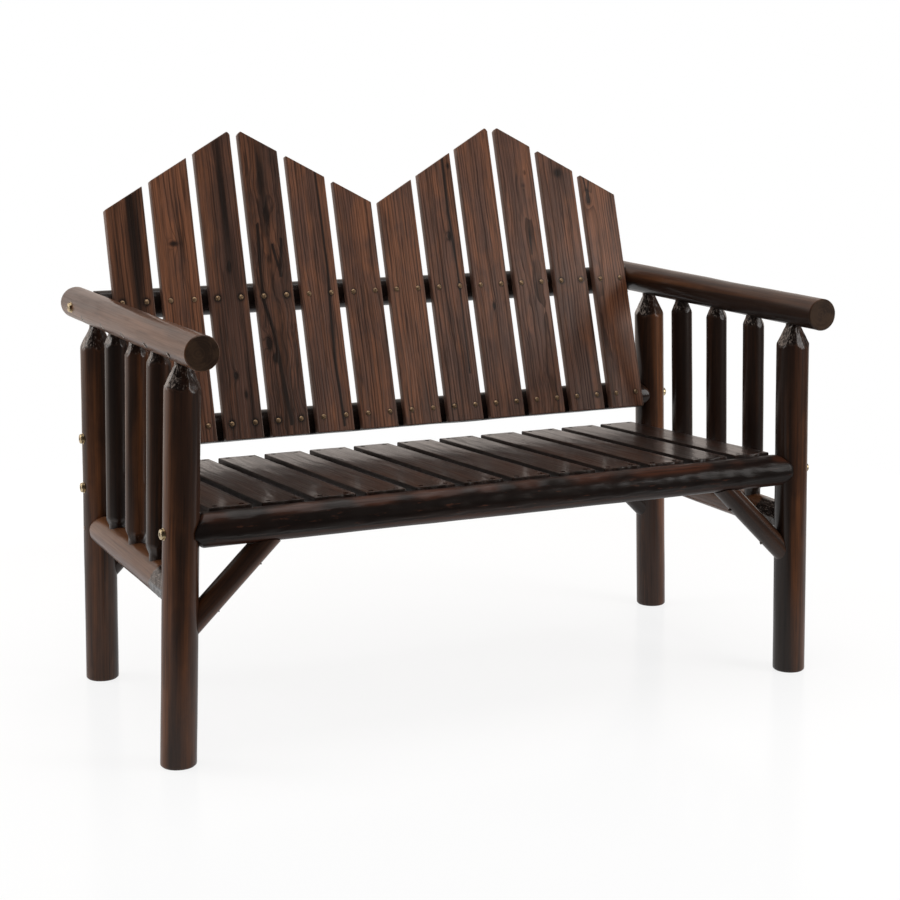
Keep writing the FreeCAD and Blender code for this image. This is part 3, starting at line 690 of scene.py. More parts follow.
spindleLook = dict(
    least=(0.0152, 0.013), topTaper=0.019, facets=8, knobs=(0.0004, 0.007, 0.5), footHewn=0.55,
    uneven=(0.12, 0.0015), fine=(0.031, 0.026), thicker={("right", "rear"): 0.0007},
)
spindleNames = {1: "front", 2: "middle", 3: "rear"}
footTapers = {"front": 0.024, "middle": 0.02, "rear": 0.016}
spindleTones = dict(
    left=dict(front=(0.4, 0.78), middle=(0.55, 0.62), rear=(0.1, 0.82)),
    right=dict(front=(0.34, 0.78), middle=(0.38, 0.84), rear=(0.35, 0.86)),
)
for side in sideSign:
    for number, word in spindleNames.items():
        name = f"{side}_{word}_spindle"
        y = frontY + bench["rowSpacing"] * number / 4
        foot = sideRailPoint(side, y)
        head = Vector((sideSign[side] * bench["legSpacing"] / 2, y, bench["armHeight"]))
        up = (head - foot).normalized()
        start = foot - up * bench["tenonPastAxis"]
        end = head + up * bench["tenonPastAxis"]
        length = (end - start).length
        low = bench["tenonPastAxis"] + bench["sideRailRadius"]
        high = length - bench["tenonPastAxis"] - bench["armRadius"]
        run, footRun = spindleLook["topTaper"], footTapers[word]
        cuts = [(high - run, run, 1), (low + footRun, footRun, -1)]
        makeLog(
            name, start, end, bench["spindleRadius"], up=(0, -1, 0), segments=56, step=0.01, lump=0.0005,
            profile=[(0, bench["spindleRadius"] + spindleLook["thicker"].get((side, word), 0.0))],
            fine=[(0, low + spindleLook["fine"][0]), (high - spindleLook["fine"][1], length)],
            shape=cutShape(name, cuts, bench["spindleRadius"], bench["tenonRadius"], spindleLook),
            hewn=cutsWithLeftHighlight(bench["spindleRadius"], high / 2, spindleLook["footHewn"]),
            warmth=spindleTones[side][word][0], burn=spindleTones[side][word][1],
        )
print("spindles built")

armEase = 0.002
armLook = dict(
    radii=[(0, 0.0293), (0.25, 0.0287), (0.74, 0.0297)],
    rise=dict(
        left=[(0, -0.001), (0.3, 0), (0.74, 0.0012)], right=[(0, -0.0032), (0.3, -0.0006), (0.74, 0.0053)],
    ),
    sway={"left": [(0, -0.003), (0.3, 0)], "right": [(0, 0)]}, screwLength=0.034, screwDrop=radians(30),
    screwBurnAndShade=(1.3, 0.0058), endFine=0.003, sawnDepth=0.0005,
)
rearRadius, frontRadius = armLook["radii"][0][1], armLook["radii"][-1][1]
armProfile = [
    (0, rearRadius - armEase), (armEase, rearRadius), *armLook["radii"][1:-1],
    (bench["armLength"] - armEase, frontRadius), (bench["armLength"], frontRadius - armEase),
]
for side, sign in sideSign.items():
    x = sign * bench["legSpacing"] / 2
    start = Vector((x, -bench["armLength"] / 2, bench["armHeight"]))
    end = Vector((x, bench["armLength"] / 2, bench["armHeight"]))
    radius = bench["armRadius"]
    outward = Vector((sign * cos(armLook["screwDrop"]), 0, -sin(armLook["screwDrop"])))
    cutters = [boltBody(Vector((x, upperRailY, bench["armHeight"])), radius, sign)]
    for k in range(5):
        middle = Vector((x, frontY + bench["rowSpacing"] * k / 4, bench["armHeight"]))
        cutters.append(sunkBody(middle + outward * radius, -outward, armLook["screwLength"]))

    def armToneAndShade(p, side=side, outward=outward, radius=radius):
        # the right armrest is darker on its lower side; round each screw the wood is painted dark, the
        # painted shade of the screw's sunk hole
        below = unit(0.45 - p.y / radius)
        warmth, burn = (0.55, 0.32) if side == "left" else (0.42, 0.59 + 0.45 * below)
        spot = Vector((-outward.x, outward.z)) * radius
        for k in range(5):
            far = hypot(p.x - spot.x, p.y - spot.y, p.z - bench["armOverhang"] - bench["rowSpacing"] * k / 4)
            burn += armLook["screwBurnAndShade"][0] * bell(far, armLook["screwBurnAndShade"][1])
        return warmth, burn, logFigure

    makeLog(
        f"{side}_armrest", start, end, radius, profile=armProfile, rise=armLook["rise"][side],
        sway=armLook["sway"][side], cutters=[cutters], toneAt=armToneAndShade, material=armWood,
        fine=[(0, armLook["endFine"]), (bench["armLength"] - armLook["endFine"], bench["armLength"])],
        sawn=lambda p: 1.0 if min(p.z, bench["armLength"] - p.z) < armLook["sawnDepth"] else 0.0,
    )
print("armrests built")

sideRailLook = dict(
    taper=0.061, shoulder=0.0265, facets=10, knobs=(0.0009, 0.01, 0.0), least=(0.018, 0.018),
    patchEdge=((0.012, 90, 0), (0.004, 300, 2)), uneven=(0.5, 0.012), rearEnd=0.0215, rearTaper=0.02,
    patch=0.054, rearGap=0.016,
)
railEnds = (("start", "rear"), ("end", "front"))
for side, sign in sideSign.items():
    name = f"{side}_side_rail"
    front = legPoint(side, "front", bench["sideRailHeight"])
    rear = legPoint(side, "rear", bench["sideRailHeight"])
    length = (front - rear).length
    radius = bench["sideRailRadius"]
    start = length - bench["legRadius"] - sideRailLook["taper"]
    cuts = [(start, sideRailLook["taper"], 1)]

    def railHewn(p, length=length):
        # bare, shiny knife cuts close to the front leg, speckled with the chip colour's painted glints
        edge = length - bench["legRadius"] - sideRailLook["patch"]
        for height, stretch, layer in sideRailLook["patchEdge"]:
            edge += height * noise.noise(Vector((p.x * stretch, p.y * stretch, layer)))
        return 1.05 * unit((p.z - edge) / 0.004)

    def railTone(p, length=length):
        # lighter and warmer from the top round to the outer side, dark below
        around = noise.noise(Vector((p.x * 20, p.y * 20, p.z * 3)))
        return 0.7 + 0.3 * around, 0.28 + 0.3 * max(0.0, -p.y / bench["sideRailRadius"]) ** 2, logFigure

    makeLog(
        name, rear, front, radius, fine=[(0, 0.05), (start - 0.01, length)], fineStep=0.003,
        profile=[
            (0, sideRailLook["rearEnd"]), (sideRailLook["rearTaper"] * 0.4, radius - 0.0022),
            (sideRailLook["rearTaper"], radius), (length, radius),
        ],
        shape=cutShape(name, cuts, radius, sideRailLook["shoulder"], sideRailLook, start - 0.03),
        hewn=railHewn, lump=0.0009, toneAt=railTone, material=armWood,
        shortest=(sideRailLook["rearGap"], 0.0),
        copes={key: legCope(side, row, bench["sideRailHeight"]) for key, row in railEnds},
    )
print("side rails built")

frontRailLook = dict(
    endRun=0.009, endDrop=(0.004, 0.0017), lip=0.0057, bearing=0.018, hewnFrom=radians(-20),
    hewnWave=radians(11), bark=0.0009,
)


def flatCut(r, around, facing, distance):
    # The radius left by planing a flat at a distance from the log's axis.
    turn = cos(around - facing)
    return min(r, distance / turn) if turn > 0.2 else r


def crossLog(node, radius, copes, **spec):
    # A log between two coped ends with a bolt in each; copes are as legCope gives them.
    ends = [cope[0] for cope in copes]
    bolts = [railBoltBodies(end, sign, radius) for end, sign in zip(ends, sideSign.values())]
    length = (ends[1] - ends[0]).length
    spec = dict(
        dict(
            segments=84, step=0.008, lump=0.0009, shortest=(0.008, 0.012),
            fine=[(0, 0.01), (length - 0.01, length)],
        ),
        **spec,
    )
    makeLog(node, *ends, radius, copes=dict(zip(("start", "end"), copes)), cutters=list(zip(*bolts)), **spec)


def legCopes(row, height):
    return [legCope(side, row, height) for side in sideSign]


railLengths = {}
for row, height in (("front", bench["frontRailHeight"]), ("rear", bench["backRailHeight"])):
    railLengths[row] = (legPoint("right", row, height) - legPoint("left", row, height)).length


def roundedEnds(r, t, whole):
    # The log's ends are eased where they meet the legs.
    for place, drop in zip((t, whole - t), frontRailLook["endDrop"]):
        r -= drop * max(0.0, 1 - max(0.0, place) / frontRailLook["endRun"]) ** 2
    return r


def frontRailShape(r, around, t, seed):
    # In this log's frame X points to the rear, Y up. The bark side faces forward and up.
    ahead = atan2(sin(around), -cos(around))
    edge = frontRailLook["hewnFrom"] + frontRailLook["hewnWave"] * noise.noise(Vector((t * 9, 0, 0)) + seed)
    edge += 0.35 * frontRailLook["hewnWave"] * noise.noise(Vector((t * 40, 5, 0)) + seed)
    lift = ringWay(around)
    if edge < ahead < radians(102):
        r += knobby(lift, t * 0.45, seed, 0.011, frontRailLook["bark"]) - frontRailLook["bark"] * 0.3
    else:
        r -= frontRailLook["bark"] * 1.1
    r = roundedEnds(r, t, railLengths["front"])
    if cos(around) > 0 and sin(around) > 0:
        lip = frontRailLook["lip"] / max(1e-6, cos(around))
        flat = (frontRailLook["bearing"] - bench["copeGap"]) / sin(around)
        r = min(r, max(lip, flat))
    return r


def frontRailTone(p):
    # Near black where it meets the left leg; warm flashes along its upper side.
    black = bell(max(0.0, p.z - 0.024), 0.01)
    ahead = atan2(p.y, -p.x)
    flash = bell(ahead - radians(62), 0.36)
    flash *= max(0.0, noise.noise(Vector((p.z * 16, 3.7, 0))) + 0.25)
    return 0.3 + 1.6 * flash, 0.55 + 0.6 * black - 1.0 * flash, logFigure


def frontRailHewn(p):
    ahead = atan2(p.y, -p.x)
    outer = hypot(p.x, p.y) > bench["frontRailRadius"] - 0.0021
    if not (outer and radians(-30) < ahead < radians(100)):
        return 0.0
    warmth = frontRailTone(p)[0]
    return 0.85 - 0.6 * unit((warmth - 0.34) * 3)


crossLog(
    "front_seat_rail", bench["frontRailRadius"], legCopes("front", bench["frontRailHeight"]), segments=108,
    step=0.006, lump=0.0006, shape=frontRailShape, toneAt=frontRailTone, shortest=(0.0105, 0.015),
    hewn=frontRailHewn, warmth=0.35, burn=0.5, material=barkWood,
)


def rearRailShape(r, around, t, seed):
    return flatCut(r, around, pi / 2 + seatSlope, frontRailLook["bearing"] - bench["copeGap"])


crossLog(
    "rear_seat_rail", bench["rearRailRadius"], legCopes("rear", bench["rearRailHeight"]), shape=rearRailShape,
    warmth=0.3, burn=0.8,
)


backRailShown = 0.055  # how much of the lower back rail shows at each side of the boards


def backRailShape(r, around, t, seed):
    r = roundedEnds(r, t, railLengths["rear"])
    return flatCut(r, around, pi - bench["backLean"], bench["backRailRadius"] - 0.0006)


def backRailToneAndShade(p):
    # Painted shade: nearly black behind the boards, which shade it; brown at the ends that show.
    shown = max(0.0, 1.0 - min(p.z, railLengths["rear"] - p.z) / backRailShown)
    return 0.45 * shown, 1.3 - 0.95 * shown, logFigure


crossLog(
    "lower_back_rail", bench["backRailRadius"], legCopes("rear", bench["backRailHeight"]),
    shape=backRailShape, toneAt=backRailToneAndShade, lump=0.0014,
)
armCopes = []
for sign in sideSign.values():
    end = Vector((sign * bench["legSpacing"] / 2, upperRailY, bench["armHeight"]))
    armCopes.append((end, Vector((0, 1, 0)), bench["armRadius"] + bench["copeGap"]))
crossLog(
    "upper_back_rail", bench["backRailRadius"], armCopes, shape=backRailShape, shortest=(0.008, 0.01),
    # no warmth and a burn of 1.3: painted shade, the rail lying behind the boards
    fine=[], warmth=0.0, burn=1.3,
)
print("cross logs built")

braceLook = dict(
    warmth={"left": 0.7, "right": 0.45},
    burn={("front", "left"): 0.55, ("front", "right"): 0.72, ("rear", "left"): 0.95, ("rear", "right"): 0.95},
)
for side, sign in sideSign.items():
    for row in rowY:
        height = bench["frontRailHeight"] if row == "front" else bench["rearRailHeight"]
        railRadius = bench["frontRailRadius"] if row == "front" else bench["rearRailRadius"]
        low = legPoint(side, row, height - bench["braceReach"])
        corner = legPoint(side, row, height)
        high = Vector((corner.x - sign * bench["braceReach"], corner.y, height))
        makeLog(
            f"{row}_{side}_brace", low, high, bench["braceRadius"], up=(0, -1, 0), segments=56, step=0.004,
            lump=0.0002,
            copes=dict(
                start=legCope(side, row, height - bench["braceReach"]),
                end=(high, Vector((1, 0, 0)), railRadius + bench["copeGap"]),
            ),
            warmth=braceLook["warmth"][side], burn=braceLook["burn"][row, side],
        )
print("braces built")

# Boards

backPlace = dict(
    valley=0.441, slope=radians(30), clip=0.006, tail=0.03,
    railBehindFace=bench["boardThickness"] + bench["backRailRadius"] - 0.0005, offCentre=0.0024,
)
lean = bench["backLean"]
behind, tail = backPlace["railBehindFace"], backPlace["tail"]
backOrigin = Vector((
    backPlace["offCentre"], rearY - behind * cos(lean) - tail * sin(lean),
    bench["backRailHeight"] + behind * sin(lean) - tail * cos(lean),
))
backFrame = Matrix.Translation(backOrigin) @ Matrix.Rotation(-lean, 4, "X")
seatOrigin = Vector((0, frontY, bench["frontRailHeight"] + frontRailLook["bearing"]))
# In the seat's frame the boards run along Z and their top faces -Y, as the back boards do.
seatFrame = Matrix.Translation(seatOrigin) @ Matrix.Rotation(-seatSlope, 4, "X")
seatFrame = seatFrame @ Matrix.Rotation(-pi / 2, 4, "X")


def backTop(x):
    peak = bench["boardPitch"] * bench["boardCount"] / 4
    return backPlace["valley"] + tan(backPlace["slope"]) * (peak - abs(abs(x) - peak))


def boardTop(x, left, right):
    # The top of a back board at a place across it, with the corner beside a peak taken off.
    peak = bench["boardPitch"] * bench["boardCount"] / 4
    top = backTop(x)
    for edge, inner in ((left, left + backPlace["clip"]), (right, right - backPlace["clip"])):
        if abs(abs(edge) - peak) < 0.02 and abs(x - edge) < backPlace["clip"]:
            share = abs(x - edge) / backPlace["clip"]
            top = backTop(inner) - backPlace["clip"] * (1 - share) ** 1.7
    return top


def nearLine(points, x, z):
    # The distance across from a line of (across, along) points to a place on a board.
    points = sorted(points, key=lambda point: point[1])
    if not points[0][1] - 0.01 < z < points[-1][1] + 0.01:
        return 1.0
    return abs(x - linear([(along, across) for across, along in points], z))


def markedTone(plan, x, z):
    # Warmth, burn and figure at a place on a board, with its own soft marks and lines.
    warmth, burn = plan["warmth"], plan["burn"]
    for key in ("warm", "char"):
        for mx, mz, width, height, amount in plan.get(key, ()):
            add = amount * exp(-(((x - mx) / width) ** 2) - ((z - mz) / height) ** 2)
            warmth, burn = (warmth + add, burn) if key == "warm" else (warmth, burn + add)
    # a dark ring round each screw head: burn, with painted shade where the head sits on the board
    for height in plan.get("screwRows", ()):
        far = hypot(abs(x) - bench["screwSpread"] / 2, z - height)
        burn += backLookBoards["screwBurnAndShade"][0] * bell(far, backLookBoards["screwBurnAndShade"][1])
    for points, width, amount in plan.get("lines", ()):
        burn += amount * bell(nearLine(points, x, z), width)
    return warmth, burn, plan.get("figure", 0.3)


# How far in from its edges a board is worn and carries its painted edge light, and how far up its lower end
# is worn ragged.
boardWearAndEdgeLight = dict(edge=0.0028, end=0.004)


def makeBoard(node, number, place, low, topAt, look, material):
    rng = random.Random(node)
    seed = seedFrom(rng)
    centre = (number - (bench["boardCount"] + 1) / 2) * bench["boardPitch"]
    half = bench["boardWidth"] / 2
    left, right = centre - half, centre + half
    bm = bmesh.new()
    bmesh.ops.create_grid(bm, x_segments=look["columns"], y_segments=look["rows"], size=1.0)
    for v in bm.verts:
        x = centre + v.co.x * half
        v.co = Vector((x, 0, low + (topAt(x, left, right) - low) * (v.co.y + 1) / 2))
    grown = bmesh.ops.extrude_face_region(bm, geom=list(bm.faces))["geom"]
    behind = [g for g in grown if isinstance(g, bmesh.types.BMVert)]
    bmesh.ops.translate(bm, verts=behind, vec=(0, bench["boardThickness"], 0))
    bmesh.ops.recalc_face_normals(bm, faces=list(bm.faces))
    rims = [e for e in bm.edges if len(e.link_faces) == 2 and e.calc_face_angle(0) > 0.9]
    bmesh.ops.bevel(
        bm, geom=rims, offset=look["edge"], offset_type="OFFSET", segments=2, profile=0.5, affect="EDGES",
        material=-1, clamp_overlap=True,
    )
    for v in bm.verts:
        p = v.co
        across = (p.x - centre) / half
        wave = noise.noise(Vector((across * 1.3, 0, p.z * 14)) + seed)
        fine = noise.noise(Vector((across * 3.0, p.y * 60, p.z * 60)) + seed)
        onRim = max(0.0, (abs(across) - 0.9) / 0.1)
        front = 1.0 if p.y < bench["boardThickness"] * 0.4 else 0.0
        drop = look["dents"] * (0.5 + 0.5 * noise.noise(Vector((p.x * 55, 0, p.z * 12)) + seed))
        v.co.y += front * drop
        v.co.x -= copysign(onRim * look["waver"] * (0.5 + 0.5 * wave + 0.35 * fine), across)
        if p.z < low + boardWearAndEdgeLight["end"]:
            ragged = noise.noise(Vector((p.x * 70, p.y * 40, 3)) + seed)
            ragged += 0.5 * noise.noise(Vector((p.x * 260, p.y * 150, 9)) + seed)
            v.co.z += look["ends"] * max(0.0, 0.6 + ragged) * (1 - (p.z - low) / boardWearAndEdgeLight["end"])
    bmesh.ops.transform(bm, matrix=place, verts=list(bm.verts))
    obj = meshObject(node + "_board", bm)
    if look.get("cutters"):
        cutBy(obj, look["cutters"])
    plan = dict(
        dict(
            pith=(rng.uniform(-0.09, 0.09), rng.uniform(0.02, 0.07)), warmth=rng.uniform(0.2, 0.7),
            burn=rng.uniform(0.25, 0.5), screwRows=look.get("screwRows", ()),
        ),
        **look["plans"].get(number, {}),
    )
    pith = Vector((-centre - plan["pith"][0], -plan["pith"][1], rng.uniform(3, 40)))
    knot = None
    if "knot" in plan:
        kx, kz, size = plan["knot"]
        knot = (Vector((centre + kx, 0, kz)), (size * 0.75, size * 1.5, size * 1.3))

    def edgeWearAndPaintedLightAt(p):
        # Worn and rough within a few millimetres of the board's edges and ends, where the colour is painted
        # too: a pale painted highlight on the back boards, painted shade on the seat boards.
        inside = min(half - abs(p.x - centre), p.z - low, topAt(p.x, left, right) - p.z)
        return look["edgeWearAndPaintedLight"] * max(0.0, 1.0 - max(0.0, inside) / boardWearAndEdgeLight["edge"])

    paintPiece(obj, place, pith, knot, lambda p: markedTone(plan, p.x - centre, p.z), edgeWearAndPaintedLightAt)
    finishPiece(obj, material, node)


# Each back board's own look: pith (across, behind), warmth, burn, knot (across, along, size), and marks
# as (across, along, width, height, amount); lines are points (across, along), a width and an amount.
backLookBoards = dict(
    columns=36, rows=160, edge=0.0016, waver=0.0002, dents=0.0003, edgeWearAndPaintedLight=0.7, ends=0.0,
    screwRows=(0.03, 0.2692), screwBurnAndShade=(0.9, 0.006),
    plans={
        1: dict(
            pith=(0.1, 0.03), warmth=0.92, burn=0.52, warm=[(-0.029, 0.4, 0.01, 0.3, 0.35)],
            char=[(0.011, 0.38, 0.01, 0.16, 0.45)],
        ),
        2: dict(
            pith=(0.07, 0.05), warmth=0.68, burn=0.12, knot=(-0.006, 0.377, 0.009),
            warm=[(0.026, 0.33, 0.008, 0.12, 0.4), (-0.025, 0.45, 0.01, 0.2, 0.3)],
            char=[
                (-0.006, 0.377, 0.012, 0.006, 0.8), (0.012, 0.37, 0.006, 0.05, 0.4),
                (0.015, 0.46, 0.006, 0.1, 0.3),
            ],
        ),
        3: dict(
            pith=(0.09, 0.06), warmth=0.2, burn=0.44, knot=(-0.0042, 0.12, 0.004),
            char=[
                (0.01, 0.5, 0.008, 0.2, 0.35), (0.0065, 0.328, 0.003, 0.008, 0.8),
                (-0.0042, 0.12, 0.0035, 0.006, 0.9), (0.0112, 0.083, 0.003, 0.008, 0.7),
            ],
        ),
        4: dict(
            pith=(0.002, 0.022), warmth=0.34, burn=0.52, figure=1.0, knot=(-0.0234, 0.178, 0.009),
            char=[
                (-0.0025, 0.5, 0.007, 0.05, 0.4), (0.001, 0.425, 0.006, 0.02, 0.5),
                (-0.0234, 0.178, 0.005, 0.012, 0.9), (-0.0129, 0.149, 0.006, 0.008, 0.8),
            ],
            lines=[
                ([
                    (-0.02, 0.4), (-0.024, 0.33), (-0.0254, 0.262), (-0.0124, 0.203), (-0.0057, 0.125),
                    (0.0026, 0.029),
                ], 0.0022, 1.2),
                ([(0.024, 0.37), (0.0154, 0.314)], 0.0018, 1.1),
                ([(0.006, 0.36), (0.0154, 0.314)], 0.0018, 1.1),
            ],
        ),
        5: dict(
            pith=(-0.08, 0.04), warmth=0.45, burn=0.1,
            lines=[([
                (0.0186, 0.517), (0.019, 0.437), (0.0208, 0.32), (0.0159, 0.216), (0.0137, 0.134),
                (0.0175, 0.019),
            ], 0.0032, 1.0)],
        ),
        6: dict(pith=(0.05, 0.04), warmth=0.38, burn=0.14, warm=[(0.018, 0.44, 0.012, 0.08, 0.5)]),
        7: dict(
            pith=(-0.04, 0.03), warmth=0.52, burn=0.12,
            warm=[(-0.018, 0.41, 0.006, 0.2, 0.4), (-0.025, 0.25, 0.006, 0.2, 0.3)],
        ),
        8: dict(
            pith=(0.06, 0.03), warmth=0.34, burn=0.18, knot=(0.0135, 0.371, 0.005),
            char=[(0.0135, 0.371, 0.004, 0.009, 0.8), (0.03, 0.515, 0.004, 0.008, 0.8)],
            lines=[([(0.02, 0.6), (0.018, 0.42), (0.022, 0.3), (0.02, 0.1)], 0.003, 0.8)],
        ),
        9: dict(
            pith=(0.12, 0.04), warmth=0.3, burn=0.18, knot=(0.0009, 0.225, 0.005),
            char=[(0.0009, 0.225, 0.004, 0.009, 0.8)],
        ),
        10: dict(
            pith=(0.01, 0.025), warmth=0.36, burn=0.1, figure=0.6,
            char=[(0.0105, 0.47, 0.006, 0.007, 0.55), (0.01, 0.355, 0.003, 0.02, 0.5)],
            lines=[([(0.0105, 0.453), (0.011, 0.4), (0.0093, 0.336)], 0.0028, 0.5)],
        ),
        11: dict(pith=(0.05, 0.05), warmth=0.4, burn=0.36, char=[(0.0016, 0.495, 0.01, 0.01, 0.6)]),
        12: dict(
            pith=(-0.03, 0.03), warmth=0.54, burn=0.16, knot=(-0.0262, 0.436, 0.007),
            char=[(-0.0262, 0.436, 0.006, 0.012, 0.8)],
            lines=[
                ([(-0.034, 0.5), (-0.0262, 0.44)], 0.002, 0.9),
                ([(-0.017, 0.5), (-0.0262, 0.44)], 0.002, 0.9),
            ],
        ),
    },
)
for number in range(1, bench["boardCount"] + 1):
    makeBoard(
        f"back_slat_{number:02d}", number, backFrame, 0.0, boardTop, backLookBoards, backWood,
    )
print("back boards built")

seatPlace = dict(
    lip=0.006, rearInset=0.006, screwSink=0.0015, frontInset=0.014, rearScrewInset=0.013, screwLength=0.032,
)
seatEnd = seatRun - seatPlace["rearInset"]
seatTopFrame = seatFrame @ Matrix.Translation((0, -bench["boardThickness"], 0))
for number in range(1, bench["boardCount"] + 1):
    centre = (number - (bench["boardCount"] + 1) / 2) * bench["boardPitch"]
    cutters = []
    down = seatTopFrame.to_3x3() @ Vector((0, 1, 0))
    for z in (seatPlace["lip"] + seatPlace["frontInset"], seatEnd - seatPlace["rearScrewInset"]):
        for s in (-1, 1):
            start = seatTopFrame @ Vector((centre + s * bench["screwSpread"] / 2, seatPlace["screwSink"], z))
            cutters.append(sunkBody(start, down, seatPlace["screwLength"], seatPlace["screwSink"]))
    look = dict(
        columns=28, rows=120, edge=0.0022, waver=0.0012, dents=0.0006, edgeWearAndPaintedLight=1.0, ends=0.0022,
        cutters=cutters, plans={},
    )
    makeBoard(
        f"seat_slat_{number:02d}", number, seatTopFrame, seatPlace["lip"], lambda x, left, right: seatEnd,
        look, seatWood,
    )
print("seat boards built")

# Metal


def metalMaterial(name, look):
    material, n = newMaterial(name)
    place = n.add("TexCoord").outputs["Object"]
    stain = n.noise(place, (260, 260, 260), detail=4.0, roughness=0.65).outputs[0]
    speck = n.noise(place, (1400, 1400, 1400), detail=2.0).outputs[0]
    shade = n.ramp(stain, 0.4, 0.68)
    colour = n.mix(shade, look["bright"], look["dull"])
    # darker in the hollows: dirt, with painted shade in the recesses and round the heads
    grimeAndShade = n.ramp(n.add("NewGeometry").outputs["Pointiness"], 0.47, 0.4)
    colour = n.mix(n.times(grimeAndShade, look["grimeAndShade"]), colour, look["dirtAndShade"])
    rough = n.ramp(stain, 0.3, 0.8, look["roughLow"], look["roughHigh"])
    bump = n.add("Bump", {"Height": speck, "Strength": 0.15, "Distance": 0.0001})
    shader = n.add(
        "BsdfPrincipled",
        {"Base Color": colour, "Roughness": rough, "Metallic": look["metallic"], "Normal": bump.outputs[0]},
    )
    n.finish("Material", shader)
    return material


brassLook = dict(
    bright=(0.68, 0.55, 0.34), dull=(0.36, 0.27, 0.15), dirtAndShade=(0.05, 0.03, 0.02), grimeAndShade=0.7, roughLow=0.22,
    roughHigh=0.45, metallic=1.0,
)
bronzeLook = dict(
    brassLook, bright=(0.46, 0.3, 0.17), dull=(0.24, 0.155, 0.09), roughLow=0.42, roughHigh=0.55,
    metallic=0.7,
)
paleLook = dict(brassLook, bright=(0.55, 0.45, 0.38), dull=(0.25, 0.17, 0.13), roughLow=0.3, roughHigh=0.5)
darkLook = dict(brassLook, bright=(0.1, 0.085, 0.07), dull=(0.035, 0.028, 0.024), roughLow=0.3, roughHigh=0.6)
steelLook = dict(brassLook, bright=(0.6, 0.6, 0.61), dull=(0.38, 0.38, 0.39), dirtAndShade=(0.08, 0.07, 0.06))
metals = dict(
    boltBrass=(brassLook, [
        "armrest_bolts", "lower_back_rail_bolts", "rear_seat_rail_bolts", "front_seat_rail_bolts",
        "bolt_washers",
    ]),
    screwBronze=(bronzeLook, ["upper_back_slat_screws", "lower_back_slat_screws"]),
    screwDark=(darkLook, ["front_seat_slat_screws", "rear_seat_slat_screws", "brace_screws"]),
    screwPale=(paleLook, ["armrest_screws", "side_rail_screws"]), nutSteel=(steelLook, ["barrel_nuts"]),
)
for name, (look, nodes) in metals.items():
    material = metalMaterial(name, look)
    for node in nodes:
        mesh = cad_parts[node].data
        mesh.materials.clear()
        mesh.materials.append(material)
print("metal finished")

# Floor, light and camera

studio = dict(
    floorRadius=2.2, floorFade=(1.3, 2.0), floorColour=(0.86, 0.86, 0.86), floorGlow=1.09,
    floorGlowShare=0.745, floorGloss=(-1.15, -0.45, 0.04, 0.75), ambient=0.42, frontDim=0.05, frontEdge=0.05,
    backEdge=0.45, wallGlow=0.9, wallTop=(0.3, 0.6), topDim=0.55, glossTint=(1.0, 0.9, 0.83),
)


def buildWorld():
    # White where seen; in reflections the side behind the camera is dark and the far wall is bright.
    world = bpy.data.worlds.new("studio")
    bpy.context.scene.world = world
    world.use_nodes = True
    world.node_tree.nodes.clear()
    n = Nodes(world.node_tree)
    way = n.add("TexCoord").outputs["Generated"]
    split = n.add("SeparateXYZ", {0: way}).outputs
    behind = n.ramp(
        split["Y"], studio["frontEdge"], studio["backEdge"], studio["frontDim"], studio["wallGlow"],
    )
    behind = n.times(behind, n.ramp(split["Z"], *studio["wallTop"], 1.0, studio["topDim"]))
    path = n.add("LightPath").outputs
    seen = n.larger(path["Is Camera Ray"], path["Is Transmission Ray"])
    glossy = n.times(path["Is Glossy Ray"], behind)
    diffuse = n.times(studio["ambient"], n.minus(1.0, path["Is Glossy Ray"]))
    strength = n.larger(seen, n.plus(glossy, diffuse))
    colour = n.mix(path["Is Glossy Ray"], (1, 1, 1), studio["glossTint"])
    background = n.add("Background", {"Color": colour, "Strength": strength})
    n.finish("World", background)


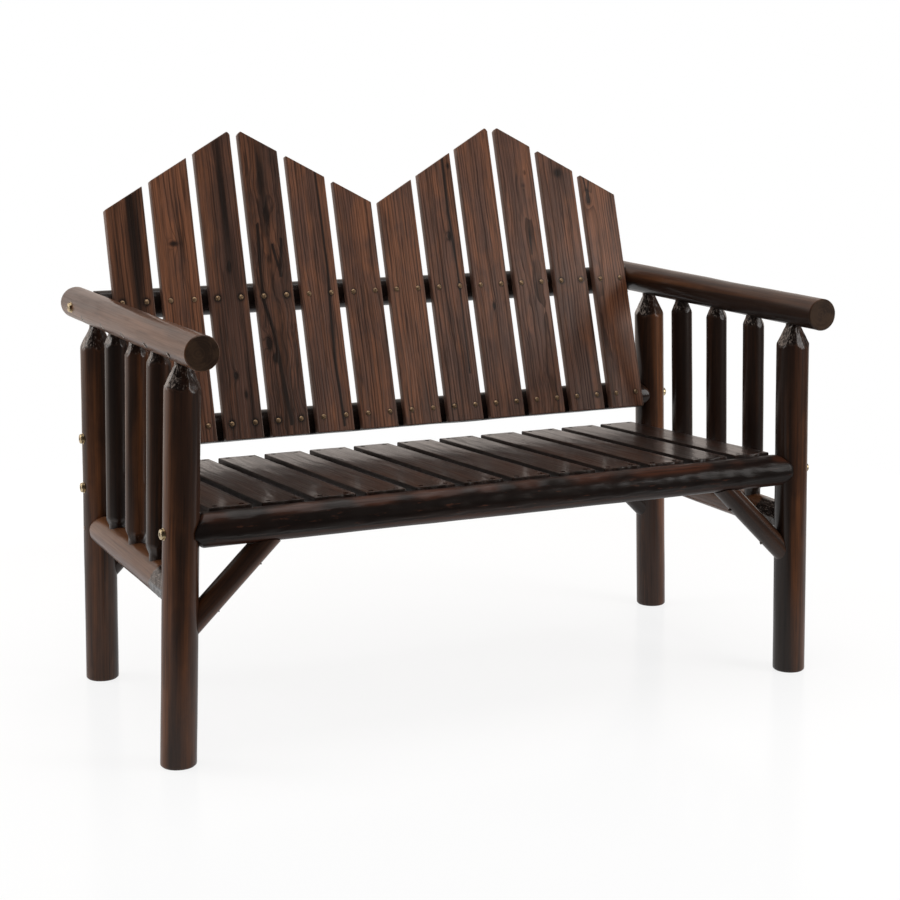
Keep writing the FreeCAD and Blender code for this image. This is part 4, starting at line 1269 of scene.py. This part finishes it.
def buildFloor():
    bm = bmesh.new()
    bmesh.ops.create_circle(bm, cap_ends=True, segments=96, radius=studio["floorRadius"])
    floor = meshObject("floor", bm)
    material, n = newMaterial("paleFloor")
    shader = n.add(
        "BsdfPrincipled", {"Base Color": (*studio["floorColour"], 1), "Roughness": 0.18, "IOR": 1.4},
    )
    path = n.add("LightPath").outputs
    seen = n.larger(path["Is Camera Ray"], path["Is Glossy Ray"])
    seen = n.larger(seen, path["Is Transmission Ray"])
    place = n.add("TexCoord").outputs["Object"]
    # in reflections the floor dims towards the camera's side of the room
    ahead = n.add("SeparateXYZ", {0: place}).outputs["Y"]
    dimming = n.ramp(ahead, *studio["floorGloss"])
    dimmed = n.add("Mix", {0: path["Is Glossy Ray"], "A": studio["floorGlow"], "B": dimming}).outputs[0]
    glow = n.add("Emission", {"Color": (1, 1, 1, 1), "Strength": dimmed})
    away = n.vector("LENGTH", place)
    fade = n.ramp(away, *studio["floorFade"], studio["floorGlowShare"], 1.0)
    fade = n.larger(fade, n.times(path["Is Glossy Ray"], 0.95))
    share = n.times(seen, fade)
    both = n.add("MixShader", {0: share, 1: shader.outputs[0], 2: glow.outputs[0]})
    n.finish("Material", both)
    floor.data.materials.append(material)


def areaLamp(name, place, target, width, height, power):
    lamp = bpy.data.lights.new(name, "AREA")
    lamp.shape = "RECTANGLE"
    lamp.size, lamp.size_y = width, height
    lamp.energy = power
    obj = link(bpy.data.objects.new(name, lamp))
    obj.location = place
    obj.rotation_euler = (Vector(target) - Vector(place)).to_track_quat("-Z", "Y").to_euler()


lamps = dict(
    rightFront=((2.25, -2.05, 1.35), (0.1, 0.0, 0.6), 1.2, 1.6, 29),
    left=((-2.6, 1.2, 1.3), (-0.3, 0.0, 0.5), 1.2, 1.6, 18.5),
    above=((0.0, 0.2, 3.2), (0.0, 0.0, 0.3), 3.0, 2.4, 42),
)
buildWorld()
buildFloor()
for name, (place, target, width, height, power) in lamps.items():
    areaLamp(name, place, target, width, height, power)

view = dict(
    place=(-1.51414, -3.20184, 1.10924), yaw=radians(25.581), pitch=radians(8.054), lens=77.59,
    shiftDown=100 / 900, sensor=36, reach=60,
)
camera = link(bpy.data.objects.new("camera", bpy.data.cameras.new("camera")))
camera.location = view["place"]
camera.rotation_euler = (pi / 2 - view["pitch"], 0, -view["yaw"])
camera.data.lens = view["lens"]
camera.data.sensor_width = view["sensor"]
camera.data.shift_y = -view["shiftDown"]
camera.data.clip_end = view["reach"]
bpy.context.scene.camera = camera
bpy.context.scene.view_settings.view_transform = "Standard"
print("studio built")


bpy.context.view_layer.update()
